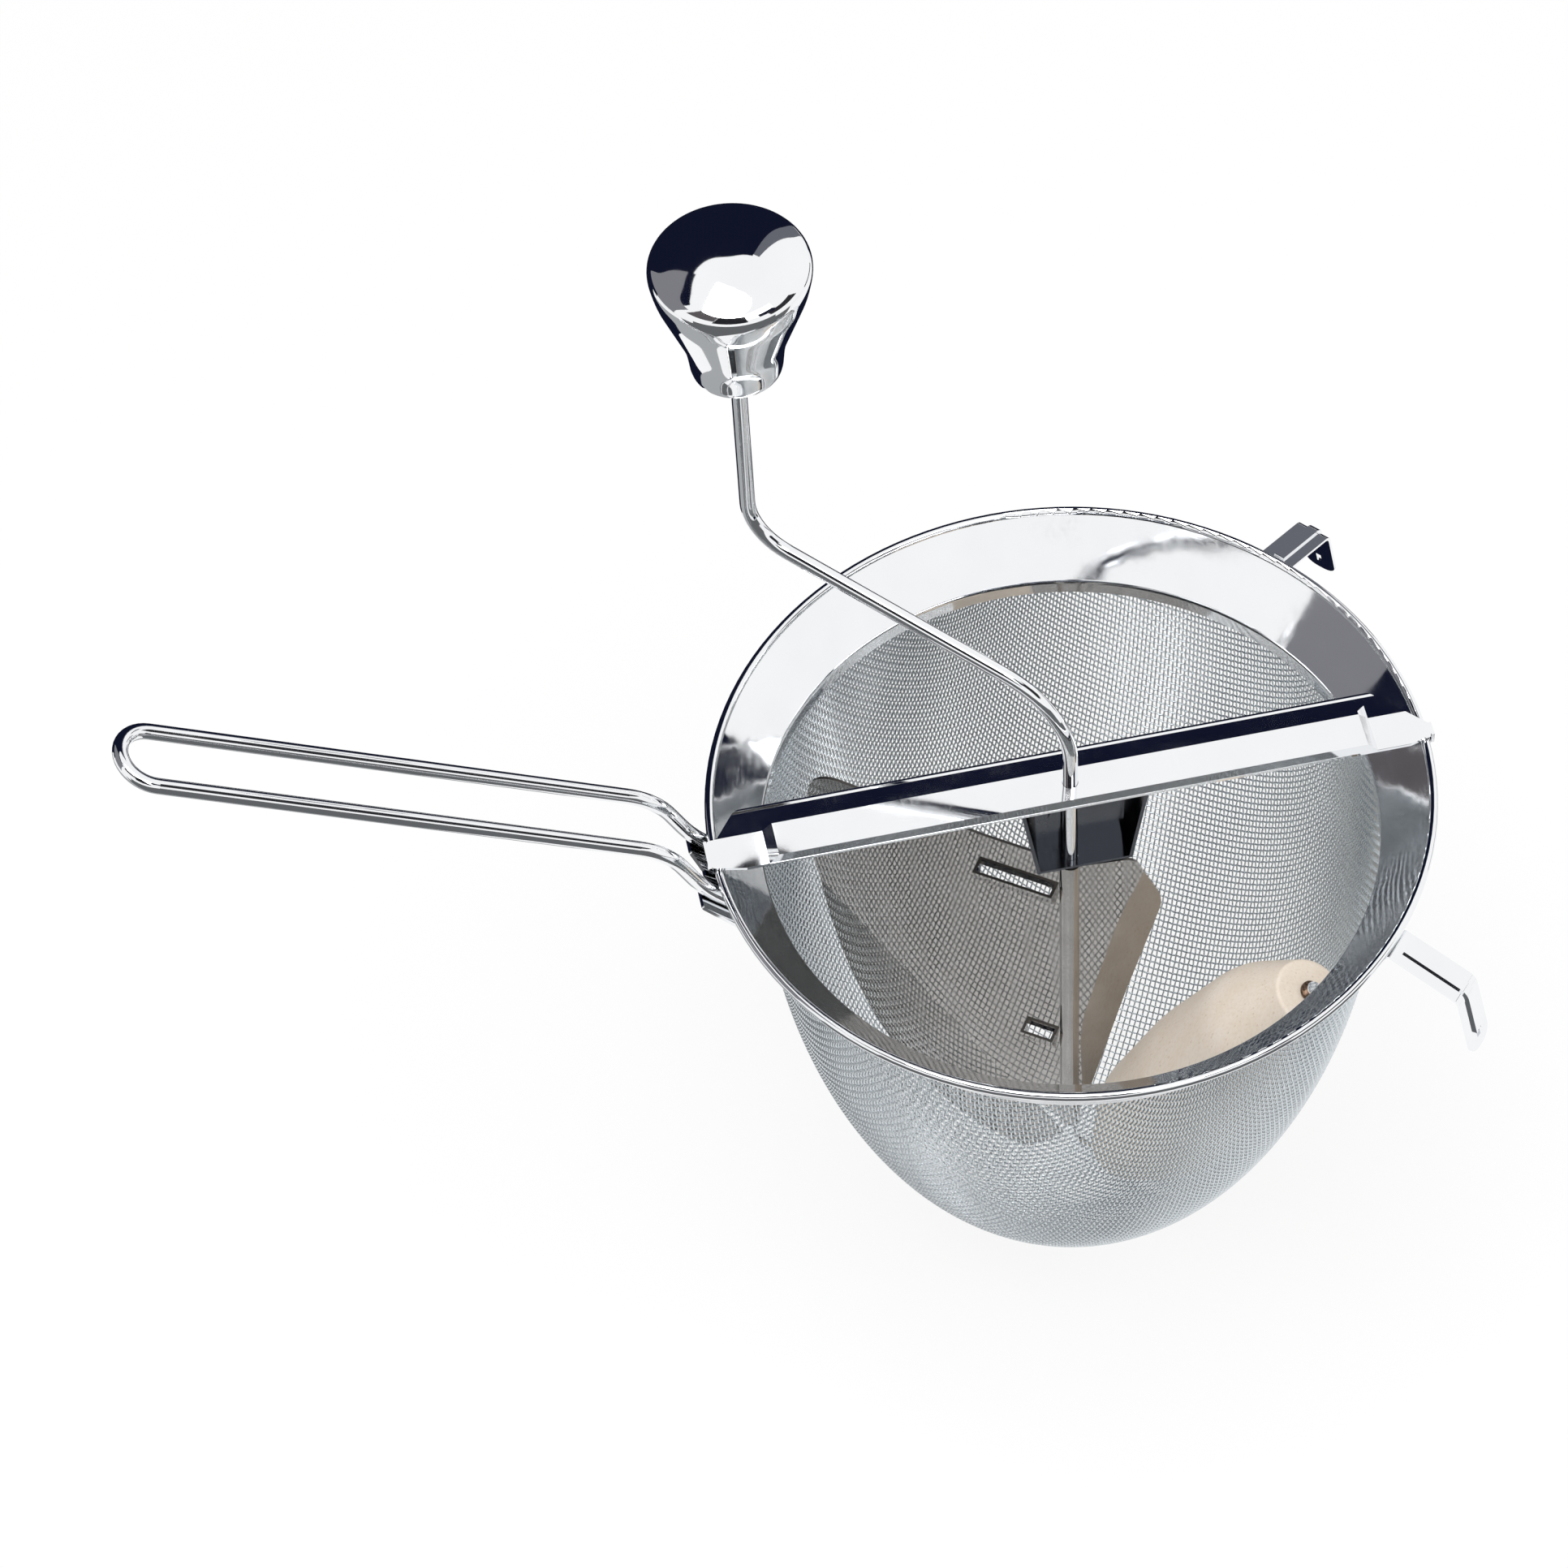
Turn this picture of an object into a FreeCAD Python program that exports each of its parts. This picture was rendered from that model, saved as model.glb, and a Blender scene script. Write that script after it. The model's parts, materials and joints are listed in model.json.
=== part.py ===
"""Tomato strainer with a crank: a deep woven-wire bowl under a flared steel rim, and a lift-out bridge
that carries a cranked wire with a scraper paddle, a wooden roller and a mushroom knob.

Frame: millimetres, +Z up. The origin is on the crank's axis in the plane of the rim's rolled bead.
The bridge lies along X, with the handle on -X and the two pan hooks on +X.
The crank is one wire bent in a single vertical plane, crank_angle round from +X.
"""

import FreeCAD, Part
import math
import os
import re

import Sketcher
from FreeCAD import Placement, Rotation, Vector

SIZES = [
    ("rim_radius", 100.0, "outer radius of the rim over its rolled bead"),
    ("bead_radius", 1.3, "radius of the rolled bead's section"),
    ("sheet", 0.9, "thickness of the rim, hook and bridge sheet"),
    ("flange_drop", 15.0, "depth of the flared flange below the bead"),
    ("lip_radius", 85.0, "inner radius of the rim's upright lip"),
    ("lip_height", 4.5, "height of the lip below the flange"),
    ("mesh_thick", 0.7, "thickness of the woven mesh over both wires"),
    ("mesh_top", 16.4, "depth of the mesh's top edge below the bead"),
    ("bowl_shoulder", 19.5, "depth at which the bowl's half ellipsoid starts"),
    ("bowl_depth", 165.0, "depth of the half ellipsoid inside the mesh"),
    ("mesh_columns", 12, "openings round the bowl, in the plain grid that stands for the fine weave"),
    ("mesh_rows", 6, "openings from the shoulder to the bowl's bottom"),
    ("mesh_bar", 6.0, "width of the bars between the openings, at the shoulder"),
    ("ring_gap", 0.05, "radial gap between the mesh and the clamp ring"),
    ("ring_thick", 0.8, "thickness of the clamp ring outside the mesh"),
    ("ring_top", 17.2, "depth of the clamp ring's top edge"),
    ("ring_bottom", 21.4, "depth of the clamp ring's bottom edge"),
    ("handle_wire", 2.1, "radius of the handle's wire"),
    ("handle_half", 8.9, "half the spacing of the handle's two wires"),
    ("handle_root", 15.9, "how far down the flange, from its top edge, the wires start"),
    ("handle_root_depth", 0.25, "gap under the bead's line where the wires start, filled by the weld"),
    ("handle_kick", 4.3, "how far past the flange's top edge the wires' first, slight bend lies"),
    ("handle_kick_up", 0.1, "height of that bend over the flange's line"),
    ("handle_knee", 12.6, "how far outside the rim the wires bend from steep to gentle"),
    ("handle_knee_up", 19.6, "height of that bend"),
    ("handle_reach", 150.5, "how far outside the rim the loop's outer end lies"),
    ("handle_rise", 94.6, "height of the loop's outer end"),
    ("handle_kick_bend", 40.0, "bend radius at the kick"),
    ("handle_knee_bend", 26.0, "bend radius at the knee"),
    ("plate_gap", 0.1, "gap between the wires and the root plate, filled by the weld"),
    ("plate_thick", 1.0, "thickness of the handle's root plate"),
    ("plate_half", 13.5, "half the width of the root plate"),
    ("plate_length", 25.0, "length of the root plate along the wires"),
    ("plate_notch", 4.0, "depth of the notch between the plate's two lobes"),
    ("plate_start", 6.0, "how far the plate runs inward past the wires' start"),
    ("hook_angle", 42.0, "angle of each hook from +X"),
    ("hook_width", 10.0, "width of the hooks' strip"),
    ("hook_root", 13.9, "how far down the flange, from its top edge, a hook starts"),
    ("hook_root_depth", 0.01, "gap under the flange at the hook's start, closed by the weld"),
    ("hook_brow", 0.3, "how far inside the rim's edge the hook bends below the bead"),
    ("hook_brow_depth", 0.55, "depth of that bend under the bead"),
    ("hook_knuckle", 20.8, "how far outside the rim the hook's outer bend lies"),
    ("hook_knuckle_depth", 8.6, "depth of that bend"),
    ("hook_tip", 5.8, "how far outside that bend the hook's tip lies"),
    ("hook_tip_depth", 31.0, "depth of the hook's tip"),
    ("hook_rib", 3.2, "width of the rib pressed along a hook"),
    ("hook_rib_rise", 0.8, "height of that rib"),
    ("hook_slot", 1.6, "width of the slot near the tip"),
    ("hook_slot_length", 4.0, "length of that slot"),
    ("bridge_gap", 0.1, "rest of the bridge above the bead"),
    ("bridge_near", 6.5, "distance of the bridge's near edge from the axis"),
    ("bridge_far", 13.2, "distance of the bridge's far edge from the axis"),
    ("bridge_half", 9.0, "how far inside the rim the bridge's full width ends"),
    ("bridge_end", 0.3, "gap between the rim and the bridge's turned-down tabs"),
    ("bridge_shoulder", 6.5, "run from full width to the end tab, at the left end"),
    ("corner_cut", 4.0, "depth of the cut corner at the right end"),
    ("tab_half", 4.6, "half width of the end tabs"),
    ("tab_short", 5.0, "how much narrower the right end's tab is"),
    ("tab_drop", 3.6, "how far the end tabs turn down over the bead"),
    ("rib_half", 18.0, "how far inside the rim the top of the raised rib ends"),
    ("rib_rise", 2.6, "height of the raised rib"),
    ("rib_top_far", 5.8, "distance of the rib top's far edge from the axis"),
    ("rib_foot_far", 9.7, "distance of the rib foot's far edge from the axis"),
    ("rib_slope", 3.2, "run of the rib's sloped ends"),
    ("bracket_shift", 3.3, "offset of the guide bracket along the bridge"),
    ("bracket_back", 3.5, "distance of the bracket's back face from the axis"),
    ("bracket_front", 4.0, "distance of the bracket's open front from the axis"),
    ("bracket_floor", 30.0, "depth of the bracket's underside"),
    ("bracket_top_half", 14.0, "half width of the back at the top"),
    ("bracket_low_half", 13.0, "half width of the back at the bottom"),
    ("bracket_flare", 4.2, "how much wider the open front is at the top, each side"),
    ("bracket_low_flare", 0.5, "how much wider the open front is at the bottom, each side"),
    ("bracket_flange", 6.4, "width of the bracket's welded top flange"),
    ("boss_radius", 5.6, "radius of the round boss pressed in the bracket's back"),
    ("boss_rise", 0.4, "height of that boss towards the front"),
    ("boss_height", 13.5, "depth of the boss's centre"),
    ("rod_radius", 2.1, "radius of the crank's wire"),
    ("rod_play", 0.08, "radial play of what turns on the wire or lets it turn"),
    ("crank_angle", 145.0, "angle of the crank's plane from +X"),
    ("arm_root_up", 36.5, "height at which the arm's line meets the axis"),
    ("arm_rise", 35.1, "rise of the arm from the axis to the stub"),
    ("arm_length", 92.2, "distance of the knob's axis from the crank's axis"),
    ("arm_root_bend", 30.0, "bend radius from shaft to arm"),
    ("arm_end_bend", 17.0, "bend radius from arm to stub"),
    ("knob_bottom", 140.0, "height of the knob's lower end"),
    ("knob_neck", 11.9, "radius of the knob's lower end"),
    ("knob_waist", 12.8, "radius of the knob's waist"),
    ("knob_waist_up", 9.0, "height of the waist above the knob's end"),
    ("knob_head", 21.4, "radius of the knob's head"),
    ("knob_flare", 19.7, "radius at which the flare above the waist turns upright under the head"),
    ("knob_edge_low", 29.5, "height of that turn above the knob's end"),
    ("knob_edge_top", 38.5, "height of the head's edge above the knob's end"),
    ("knob_top", 45.0, "height of the knob"),
    ("knob_wall", 1.4, "wall of the knob's shell"),
    ("bush_height", 11.0, "height of the plastic bush in the knob's neck"),
    ("bush_recess", 0.8, "how far the bush sits above the knob's end"),
    ("retainer_radius", 6.0, "radius of the push-on washer above the bush"),
    ("retainer_thick", 1.2, "thickness of that washer"),
    ("retainer_gap", 0.4, "end play of the bush under the washer"),
    ("stub_past", 3.0, "how far the stub passes the push-on washer"),
    ("roller_top_radius", 71.6, "distance of the roller's top end from the axis, before it is set to the mesh"),
    ("roller_top_depth", 57.5, "depth of the roller's top end"),
    ("roller_low_radius", 16.7, "distance of the roller's lower end from the axis, before that"),
    ("roller_low_depth", 14.0, "depth of the bowl below the roller's lower end"),
    ("roller_belly", 20.5, "radius of the roller at its middle"),
    ("roller_end", 10.0, "radius of the roller's flat ends"),
    ("roller_play", 0.3, "gap between the roller and the mesh it runs on"),
    ("hairpin_bend", 8.4, "bend radius of the wire under the roller"),
    ("axle_past", 3.2, "how far the axle passes the roller's top end"),
    ("cap_radius", 3.1, "radius of the cap pressed on the axle's end"),
    ("cap_thick", 1.2, "thickness of that cap"),
    ("stop_radius", 4.2, "radius of the washer under the roller"),
    ("stop_thick", 1.0, "thickness of that washer"),
    ("end_play", 0.3, "gap between the roller and the washer or cap at its ends"),
    ("blade", 0.9, "thickness of the paddle's sheet"),
    ("blade_top", 32.6, "depth of the paddle's top edge at the wire"),
    ("blade_bottom", 20.5, "height of the paddle's bottom edge above the bowl's bottom"),
    ("blade_gap", 2.6, "gap between the paddle's edge and the mesh"),
    ("blade_reach", 78.6, "reach of the paddle's top corner from the axis"),
    ("blade_corner_depth", 29.0, "depth of that corner"),
    ("blade_fold", 17.0, "angle of the paddle's folded outer strip"),
    ("fold_high_radius", 77.0, "distance of the fold's upper end from the axis"),
    ("fold_high_depth", 81.0, "depth of the fold's upper end"),
    ("fold_low_radius", 19.0, "distance of the fold's lower end from the axis"),
    ("fold_low_depth", 31.5, "depth of the bowl below the fold's lower end"),
    ("wing_fold", 32.0, "angle of the paddle's narrow wing, turned back from the crank's plane"),
    ("wing_top", 16.0, "reach of the narrow wing's top edge"),
    ("wing_reach", 24.5, "greatest reach of the narrow wing"),
    ("wing_reach_depth", 54.0, "depth of that reach"),
    ("wing_taper", 14.0, "reach of the narrow wing's lower edge, halfway down"),
    ("wing_taper_depth", 98.0, "depth of that point"),
    ("wing_tail", 3.8, "reach of the narrow wing's lower end"),
    ("wing_tail_depth", 38.5, "depth of the bowl below that end"),
    ("louvre_start", 4.2, "distance of the louvres from the axis"),
    ("louvre_long", 24.0, "length of the upper louvre"),
    ("louvre_depth", 47.5, "depth of the upper louvre's slot"),
    ("louvre_short", 10.0, "length of the lower louvre"),
    ("louvre_short_depth", 120.5, "depth of the lower louvre's slot"),
    ("louvre_height", 7.5, "height of the louvres' hoods"),
    ("louvre_rise", 3.0, "how far the hoods stand out"),
]

doc = FreeCAD.newDocument("tomato_strainer")
sheet = doc.addObject("Spreadsheet::Sheet", "Sizes")
for row, (alias, number, note) in enumerate(SIZES, start=1):
    sheet.set(f"A{row}", alias)
    sheet.set(f"B{row}", str(number))
    sheet.set(f"C{row}", note)
    sheet.setAlias(f"B{row}", alias)
scratch = doc.addObject("Spreadsheet::Sheet", "Worked")
doc.recompute()

FUNCTIONS = ("sqrt", "sin", "cos", "tan", "atan", "min", "deg")
PARTS = {}

# The flange's straight underside, and the depths that follow the bowl's bottom.
RUN = "(rim_radius - bead_radius - lip_radius - sheet)"
RISE = "(flange_drop + sheet * 0.7 - bead_radius)"
SLANT = f"sqrt({RUN} * {RUN} + {RISE} * {RISE})"
BEAD_PAST = f"bead_radius * (1 - {RUN} / {SLANT})"
BOTTOM = "(bowl_shoulder + bowl_depth)"
BLADE_LOW = f"({BOTTOM} - blade_bottom)"
ROLLER_LOW = f"({BOTTOM} - roller_low_depth)"
ROLLER = ("sqrt((roller_top_radius - roller_low_radius) * (roller_top_radius - roller_low_radius)"
          f" + ({ROLLER_LOW} - roller_top_depth) * ({ROLLER_LOW} - roller_top_depth))")


def bound(formula):
    """The formula with every size in it named as a cell of the sheet."""
    return re.sub(r"[a-z_]+", lambda word: word[0] if word[0] in FUNCTIONS else "Sizes." + word[0], formula)


def size(formula):
    """The number that a formula of the sheet's sizes comes to."""
    scratch.set("A1", "=" + bound(formula))
    scratch.recompute()
    return float(scratch.get("A1"))


def new_body(name, placement=None):
    """A PartDesign body that becomes the sub-part called name."""
    body = doc.addObject("PartDesign::Body", name)
    body.Label = name
    if placement:
        body.Placement = placement
    return body


def new_sketch(body, name, role, offset="0"):
    """A sketch on one of the body's own origin planes, moved along the plane's normal by offset."""
    sketch = body.newObject("Sketcher::SketchObject", name)
    plane = next(item for item in body.Origin.OriginFeatures if item.Role == role)
    sketch.AttachmentSupport = [(plane, "")]
    sketch.MapMode = "FlatFace"
    sketch.setExpression("AttachmentOffset.Base.z", bound(offset))
    return sketch


def pin(sketch, geometry, point, across, up):
    """Binds a point of the sketch to two formulas of the sheet."""
    for kind, formula in (("DistanceX", across), ("DistanceY", up)):
        index = sketch.addConstraint(Sketcher.Constraint(kind, -1, 1, geometry, point, size(formula)))
        sketch.setExpression(f"Constraints[{index}]", bound(formula))


def draw(sketch, corners, closed=True):
    """Draws lines through corners (across, up, bend radius or None), each bound to the sheet."""
    places = [Vector(size(corner[0]), size(corner[1]), 0) for corner in corners]
    count = len(places)
    spans = count if closed else count - 1
    arcs = {}
    for index in range(count):
        if corners[index][2] is None:
            continue
        before = (places[index - 1] - places[index]).normalize()
        after = (places[(index + 1) % count] - places[index]).normalize()
        half = before.getAngle(after) / 2
        radius = size(corners[index][2])
        run = radius / math.tan(half)
        centre = places[index] + (before + after).normalize() * (radius / math.sin(half))
        arcs[index] = (places[index] + before * run, places[index] + after * run, centre, radius)
    lines = []
    for index in range(spans):
        following = (index + 1) % count
        start = arcs[index][1] if index in arcs else places[index]
        end = arcs[following][0] if following in arcs else places[following]
        lines.append(sketch.addGeometry(Part.LineSegment(start, end), False))
    for index in range(count):
        arriving = lines[index - 1] if closed or index > 0 else None
        leaving = lines[index] if index < spans else None
        across, up, bend = corners[index]
        if bend is None:
            if arriving is not None and leaving is not None:
                sketch.addConstraint(Sketcher.Constraint("Coincident", arriving, 2, leaving, 1))
            if leaving is not None:
                pin(sketch, leaving, 1, across, up)
            else:
                pin(sketch, arriving, 2, across, up)
            continue
        first, last, centre, radius = arcs[index]
        turn = (first - centre).cross(last - centre).z
        middle = centre + ((first + last) / 2 - centre).normalize() * radius
        arc = sketch.addGeometry(Part.Arc(first, middle, last), False)
        near, far = (1, 2) if turn > 0 else (2, 1)
        corner = sketch.addGeometry(Part.Point(places[index]), True)
        pin(sketch, corner, 1, across, up)
        sketch.addConstraint(Sketcher.Constraint("PointOnObject", corner, 1, arriving))
        sketch.addConstraint(Sketcher.Constraint("PointOnObject", corner, 1, leaving))
        sketch.addConstraint(Sketcher.Constraint("Tangent", arriving, 2, arc, near))
        sketch.addConstraint(Sketcher.Constraint("Tangent", leaving, 1, arc, far))
        rounding = sketch.addConstraint(Sketcher.Constraint("Radius", arc, radius))
        sketch.setExpression(f"Constraints[{rounding}]", bound(bend))
    return sketch


def rectangle(sketch, left, right, low, high):
    """A rectangle between four formulas."""
    return draw(sketch, [(left, low, None), (right, low, None), (right, high, None), (left, high, None)])


def circle(sketch, across, up, radius):
    """A circle bound to the sheet."""
    centre = Vector(size(across), size(up), 0)
    ring = sketch.addGeometry(Part.Circle(centre, Vector(0, 0, 1), size(radius)), False)
    pin(sketch, ring, 3, across, up)
    index = sketch.addConstraint(Sketcher.Constraint("Radius", ring, size(radius)))
    sketch.setExpression(f"Constraints[{index}]", bound(radius))
    return sketch


def pad(body, sketch, length, both_ways=False, backwards=False, kind="Pad"):
    """Pads or pockets a sketch by a bound length, and returns the feature."""
    feature = body.newObject("PartDesign::" + kind, sketch.Name + kind)
    feature.Profile = sketch
    feature.setExpression("Length", bound(length))
    feature.SideType = "Symmetric" if both_ways else "One side"
    feature.Reversed = backwards
    doc.recompute()
    return feature


def pocket(body, sketch, length, both_ways=False, backwards=False):
    """Pockets a sketch, and stops if nothing was cut."""
    before = body.Shape.Volume
    feature = pad(body, sketch, length, both_ways, backwards, "Pocket")
    if not body.Shape.Volume < before - 1e-3:
        raise RuntimeError(f"{feature.Name} cuts nothing")
    return feature


def revolve(body, sketch):
    """Turns a sketch once round its own upright axis."""
    feature = body.newObject("PartDesign::Revolution", sketch.Name + "Turned")
    feature.Profile = sketch
    feature.ReferenceAxis = (sketch, ["V_Axis"])
    feature.Angle = 360
    doc.recompute()
    return feature


def sweep(body, path, outline):
    """Sweeps the section that outline draws, across the path's start, along the path sketch."""
    section = body.newObject("Sketcher::SketchObject", path.Name + "Section")
    section.AttachmentSupport = [(path, "Edge1")]
    section.MapMode = "NormalToEdge"
    section.MapPathParameter = 0
    doc.recompute()
    outline(section)
    pipe = body.newObject("PartDesign::AdditivePipe", path.Name + "Pipe")
    pipe.Profile = section
    pipe.Spine = (path, [])
    doc.recompute()
    return pipe


def wire_pipe(body, path, radius):
    """A round wire along the path sketch."""
    return sweep(body, path, lambda section: circle(section, "0", "0", radius))


def dress(body, kind, edges, amount):
    """Rounds or chamfers edges of the body's last feature."""
    base = body.Tip
    feature = body.newObject("PartDesign::" + kind, base.Name + kind)
    feature.Base = (base, edges)
    feature.setExpression("Radius" if kind == "Fillet" else "Size", bound(amount))
    doc.recompute()
    return feature


def edges_where(shape, test):
    """The names of the shape's edges that pass a test."""
    return [f"Edge{index}" for index, edge in enumerate(shape.Edges, start=1) if test(edge)]


def off_flange(along, off):
    """The point this far down the flange from its top edge, and this far off its underside."""
    return (f"rim_radius - bead_radius - ({along}) * {RUN} / {SLANT} + ({off}) * {RISE} / {SLANT}",
            f"-bead_radius - ({along}) * {RISE} / {SLANT} - ({off}) * {RUN} / {SLANT}")


# ---------------------------------------------------------------- the rim and the bowl

def make_rim():
    """A bowed conical flange with a rolled bead outside and an upright lip inside."""
    body = new_body("rim_band")
    sketch = new_sketch(body, "RimProfile", "XZ_Plane")
    bead_centre = "rim_radius - bead_radius"
    draw(sketch, [
        ("lip_radius", "-flange_drop - lip_height", None),
        ("lip_radius", "-flange_drop", "2"),
        (bead_centre + " - bead_radius", "0", None),
        (bead_centre + " - bead_radius", "bead_radius", "bead_radius * 0.98"),
        ("rim_radius", "bead_radius", "bead_radius * 0.98"),
        ("rim_radius", "-bead_radius", "bead_radius * 0.98"),
        (bead_centre, "-bead_radius", None),
        ("lip_radius + sheet", "-flange_drop - sheet * 0.7", "1.2"),
        ("lip_radius + sheet", "-flange_drop - lip_height", None),
    ])
    revolve(body, sketch)
    PARTS["rim_band"] = body


def ellipsoid(name, across, down):
    """An ellipsoid of revolution about the crank's axis, centred at the bowl's shoulder."""
    solid = doc.addObject("Part::Ellipsoid", name)
    solid.setExpression("Radius1", bound(down))
    solid.setExpression("Radius2", bound(across))
    solid.setExpression("Radius3", bound(across))
    solid.Angle1 = -90
    solid.Angle2 = 90
    solid.Angle3 = 360
    solid.setExpression("Placement.Base.z", bound("-bowl_shoulder"))
    return solid


def drum(name, radius, low, high):
    """An upright cylinder on the crank's axis between two heights."""
    solid = doc.addObject("Part::Cylinder", name)
    solid.setExpression("Radius", bound(radius))
    solid.setExpression("Height", bound(f"({high}) - ({low})"))
    solid.setExpression("Placement.Base.z", bound(low))
    return solid


def make_openings(inner):
    """Wedges in rows and columns that open the bowl's skin into a plain grid."""
    body = new_body("MeshOpenings")
    body.AllowCompound = True
    row = new_sketch(body, "OpeningRow", "XZ_Plane")
    across, down, bar = size(inner), size("bowl_depth"), size("mesh_bar")
    rows = round(size("mesh_rows"))
    lines = [math.pi / 2 * index / (rows + 0.8) for index in range(rows + 1)]
    bars = [bar / 2 / math.hypot(across * math.sin(line), down * math.cos(line)) for line in lines]
    bars[0] *= 2
    for index in range(rows):
        upper = lines[index] + bars[index]
        lower = lines[index + 1] - bars[index + 1]
        draw(row, [(f"({inner}) * {share * math.cos(angle):.5f}",
                    f"-bowl_shoulder - bowl_depth * {share * math.sin(angle):.5f}", None)
                   for share, angle in ((0.95, upper), (1.05, upper), (1.05, lower), (0.95, lower))])
    wedges = revolve(body, row)
    wedges.setExpression("Angle", bound(f"360 deg / mesh_columns - 2 * atan(mesh_bar / 2 / ({inner}))"))
    pattern = body.newObject("PartDesign::PolarPattern", "OpeningColumns")
    pattern.Originals = [wedges]
    pattern.Axis = (row, ["V_Axis"])
    pattern.Angle = 360
    pattern.Occurrences = round(size("mesh_columns"))
    body.Tip = pattern
    doc.recompute()
    return body


def make_bowl():
    """A thin half ellipsoid with a short upright collar, clamped between the rim's lip and the ring."""
    inner = "lip_radius + sheet"
    outer = inner + " + mesh_thick"
    skin = doc.addObject("Part::Cut", "MeshSkin")
    skin.Base = ellipsoid("MeshOutside", outer, "bowl_depth + mesh_thick")
    skin.Tool = ellipsoid("MeshInside", inner, "bowl_depth")
    half = doc.addObject("Part::Common", "MeshHalf")
    half.Base = skin
    half.Tool = drum("MeshBelowShoulder", outer + " + 5", "-bowl_shoulder - bowl_depth - 5", "-bowl_shoulder")
    grid = doc.addObject("Part::Cut", "MeshGrid")
    grid.Base = half
    grid.Tool = make_openings(inner)
    collar = doc.addObject("Part::Cut", "MeshCollar")
    collar.Base = drum("CollarOutside", outer, "-bowl_shoulder", "-mesh_top")
    collar.Tool = drum("CollarInside", inner, "-bowl_shoulder - 1", "-mesh_top + 1")
    bowl = doc.addObject("Part::Fuse", "mesh_bowl")
    bowl.Base = grid
    bowl.Tool = collar
    PARTS["mesh_bowl"] = bowl


def make_clamp_ring():
    """A plain rolled ring that holds the mesh's edge against the lip."""
    body = new_body("mesh_clamp_ring")
    inner = "lip_radius + sheet + mesh_thick + ring_gap"
    sketch = new_sketch(body, "RingProfile", "XZ_Plane")
    draw(sketch, [
        (inner, "-ring_bottom", None),
        (inner + " + ring_thick", "-ring_bottom", None),
        (inner + " + ring_thick", "-ring_top", None),
        (inner, "-ring_top", None),
    ])
    revolve(body, sketch)
    PARTS["mesh_clamp_ring"] = body


# ---------------------------------------------------------------- the handle

def make_handle():
    """A U of round wire: two bent legs under the flange, joined by a half turn at the outer end."""
    leg = new_body("HandleLeg")
    path = new_sketch(leg, "LegPath", "XZ_Plane", "-handle_half")
    run = "(handle_reach - handle_knee)"
    off = f"handle_wire + {BEAD_PAST} + handle_root_depth"
    root = off_flange("handle_root", off)
    kick = off_flange("-handle_kick", off)
    rise = "(handle_rise - handle_knee_up)"
    length = f"sqrt({run} * {run} + {rise} * {rise})"
    reach = f"-rim_radius - handle_reach + (handle_half + handle_wire) * {run} / {length}"
    top = f"handle_rise - (handle_half + handle_wire) * {rise} / {length}"
    draw(path, [
        (f"-({root[0]})", root[1], None),
        (f"-({kick[0]})", f"{kick[1]} + handle_kick_up", "handle_kick_bend"),
        ("-rim_radius - handle_knee", "handle_knee_up", "handle_knee_bend"),
        (reach, top, None),
    ], closed=False)
    wire_pipe(leg, path, "handle_wire")
    other = doc.addObject("Part::Mirroring", "HandleOtherLeg")
    other.Source = leg
    other.Normal = Vector(0, 1, 0)
    other.Base = Vector(0, 0, 0)
    bend = doc.addObject("Part::Torus", "HandleEnd")
    bend.setExpression("Radius1", bound("handle_half"))
    bend.setExpression("Radius2", bound("handle_wire"))
    bend.Angle3 = 180
    slope = math.degrees(math.atan2(size(rise), size(run)))
    turned = Rotation(Vector(0, 1, 0), slope).multiply(Rotation(Vector(0, 0, 1), 90))
    bend.Placement = Placement(Vector(size(reach), 0, size(top)), turned)
    loop = doc.addObject("Part::MultiFuse", "handle_loop")
    loop.Shapes = [leg, other, bend]
    PARTS["handle_loop"] = loop


def make_handle_plate():
    """A flat root plate across both wires, with two pointed lobes that show past the rim."""
    off = f"handle_wire + {BEAD_PAST} + handle_root_depth"
    root = off_flange("handle_root", off)
    kick = off_flange("-handle_kick", off)
    start = Vector(-size(root[0]), 0, size(root[1]))
    along = (Vector(-size(kick[0]), 0, size(kick[1]) + size("handle_kick_up")) - start).normalize()
    outward = Vector(-along.z, 0, along.x)
    origin = start + outward * size("handle_wire + plate_gap") - along * size("plate_start")
    turned = Rotation(along, Vector(0, 1, 0), outward, "XYZ")
    body = new_body("handle_plate", Placement(origin, turned))
    sketch = new_sketch(body, "PlateOutline", "XY_Plane")
    draw(sketch, [
        ("0", "-plate_half - 2", None),
        ("plate_length", "-plate_half", "0.8"),
        ("plate_length", "-plate_half * 0.4", "0.8"),
        ("plate_length - plate_notch", "-0.8", None),
        ("plate_length - plate_notch", "0.8", None),
        ("plate_length", "plate_half * 0.4", "0.8"),
        ("plate_length", "plate_half", "0.8"),
        ("0", "plate_half + 2", None),
    ])
    pad(body, sketch, "plate_thick")
    PARTS["handle_plate"] = body


# ---------------------------------------------------------------- the pan hooks

def partway(first, second, share):
    """The formula of a point that lies this share of the way from one formula to another."""
    return f"({first}) * {1 - share:g} + ({second}) * {share:g}"


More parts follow.
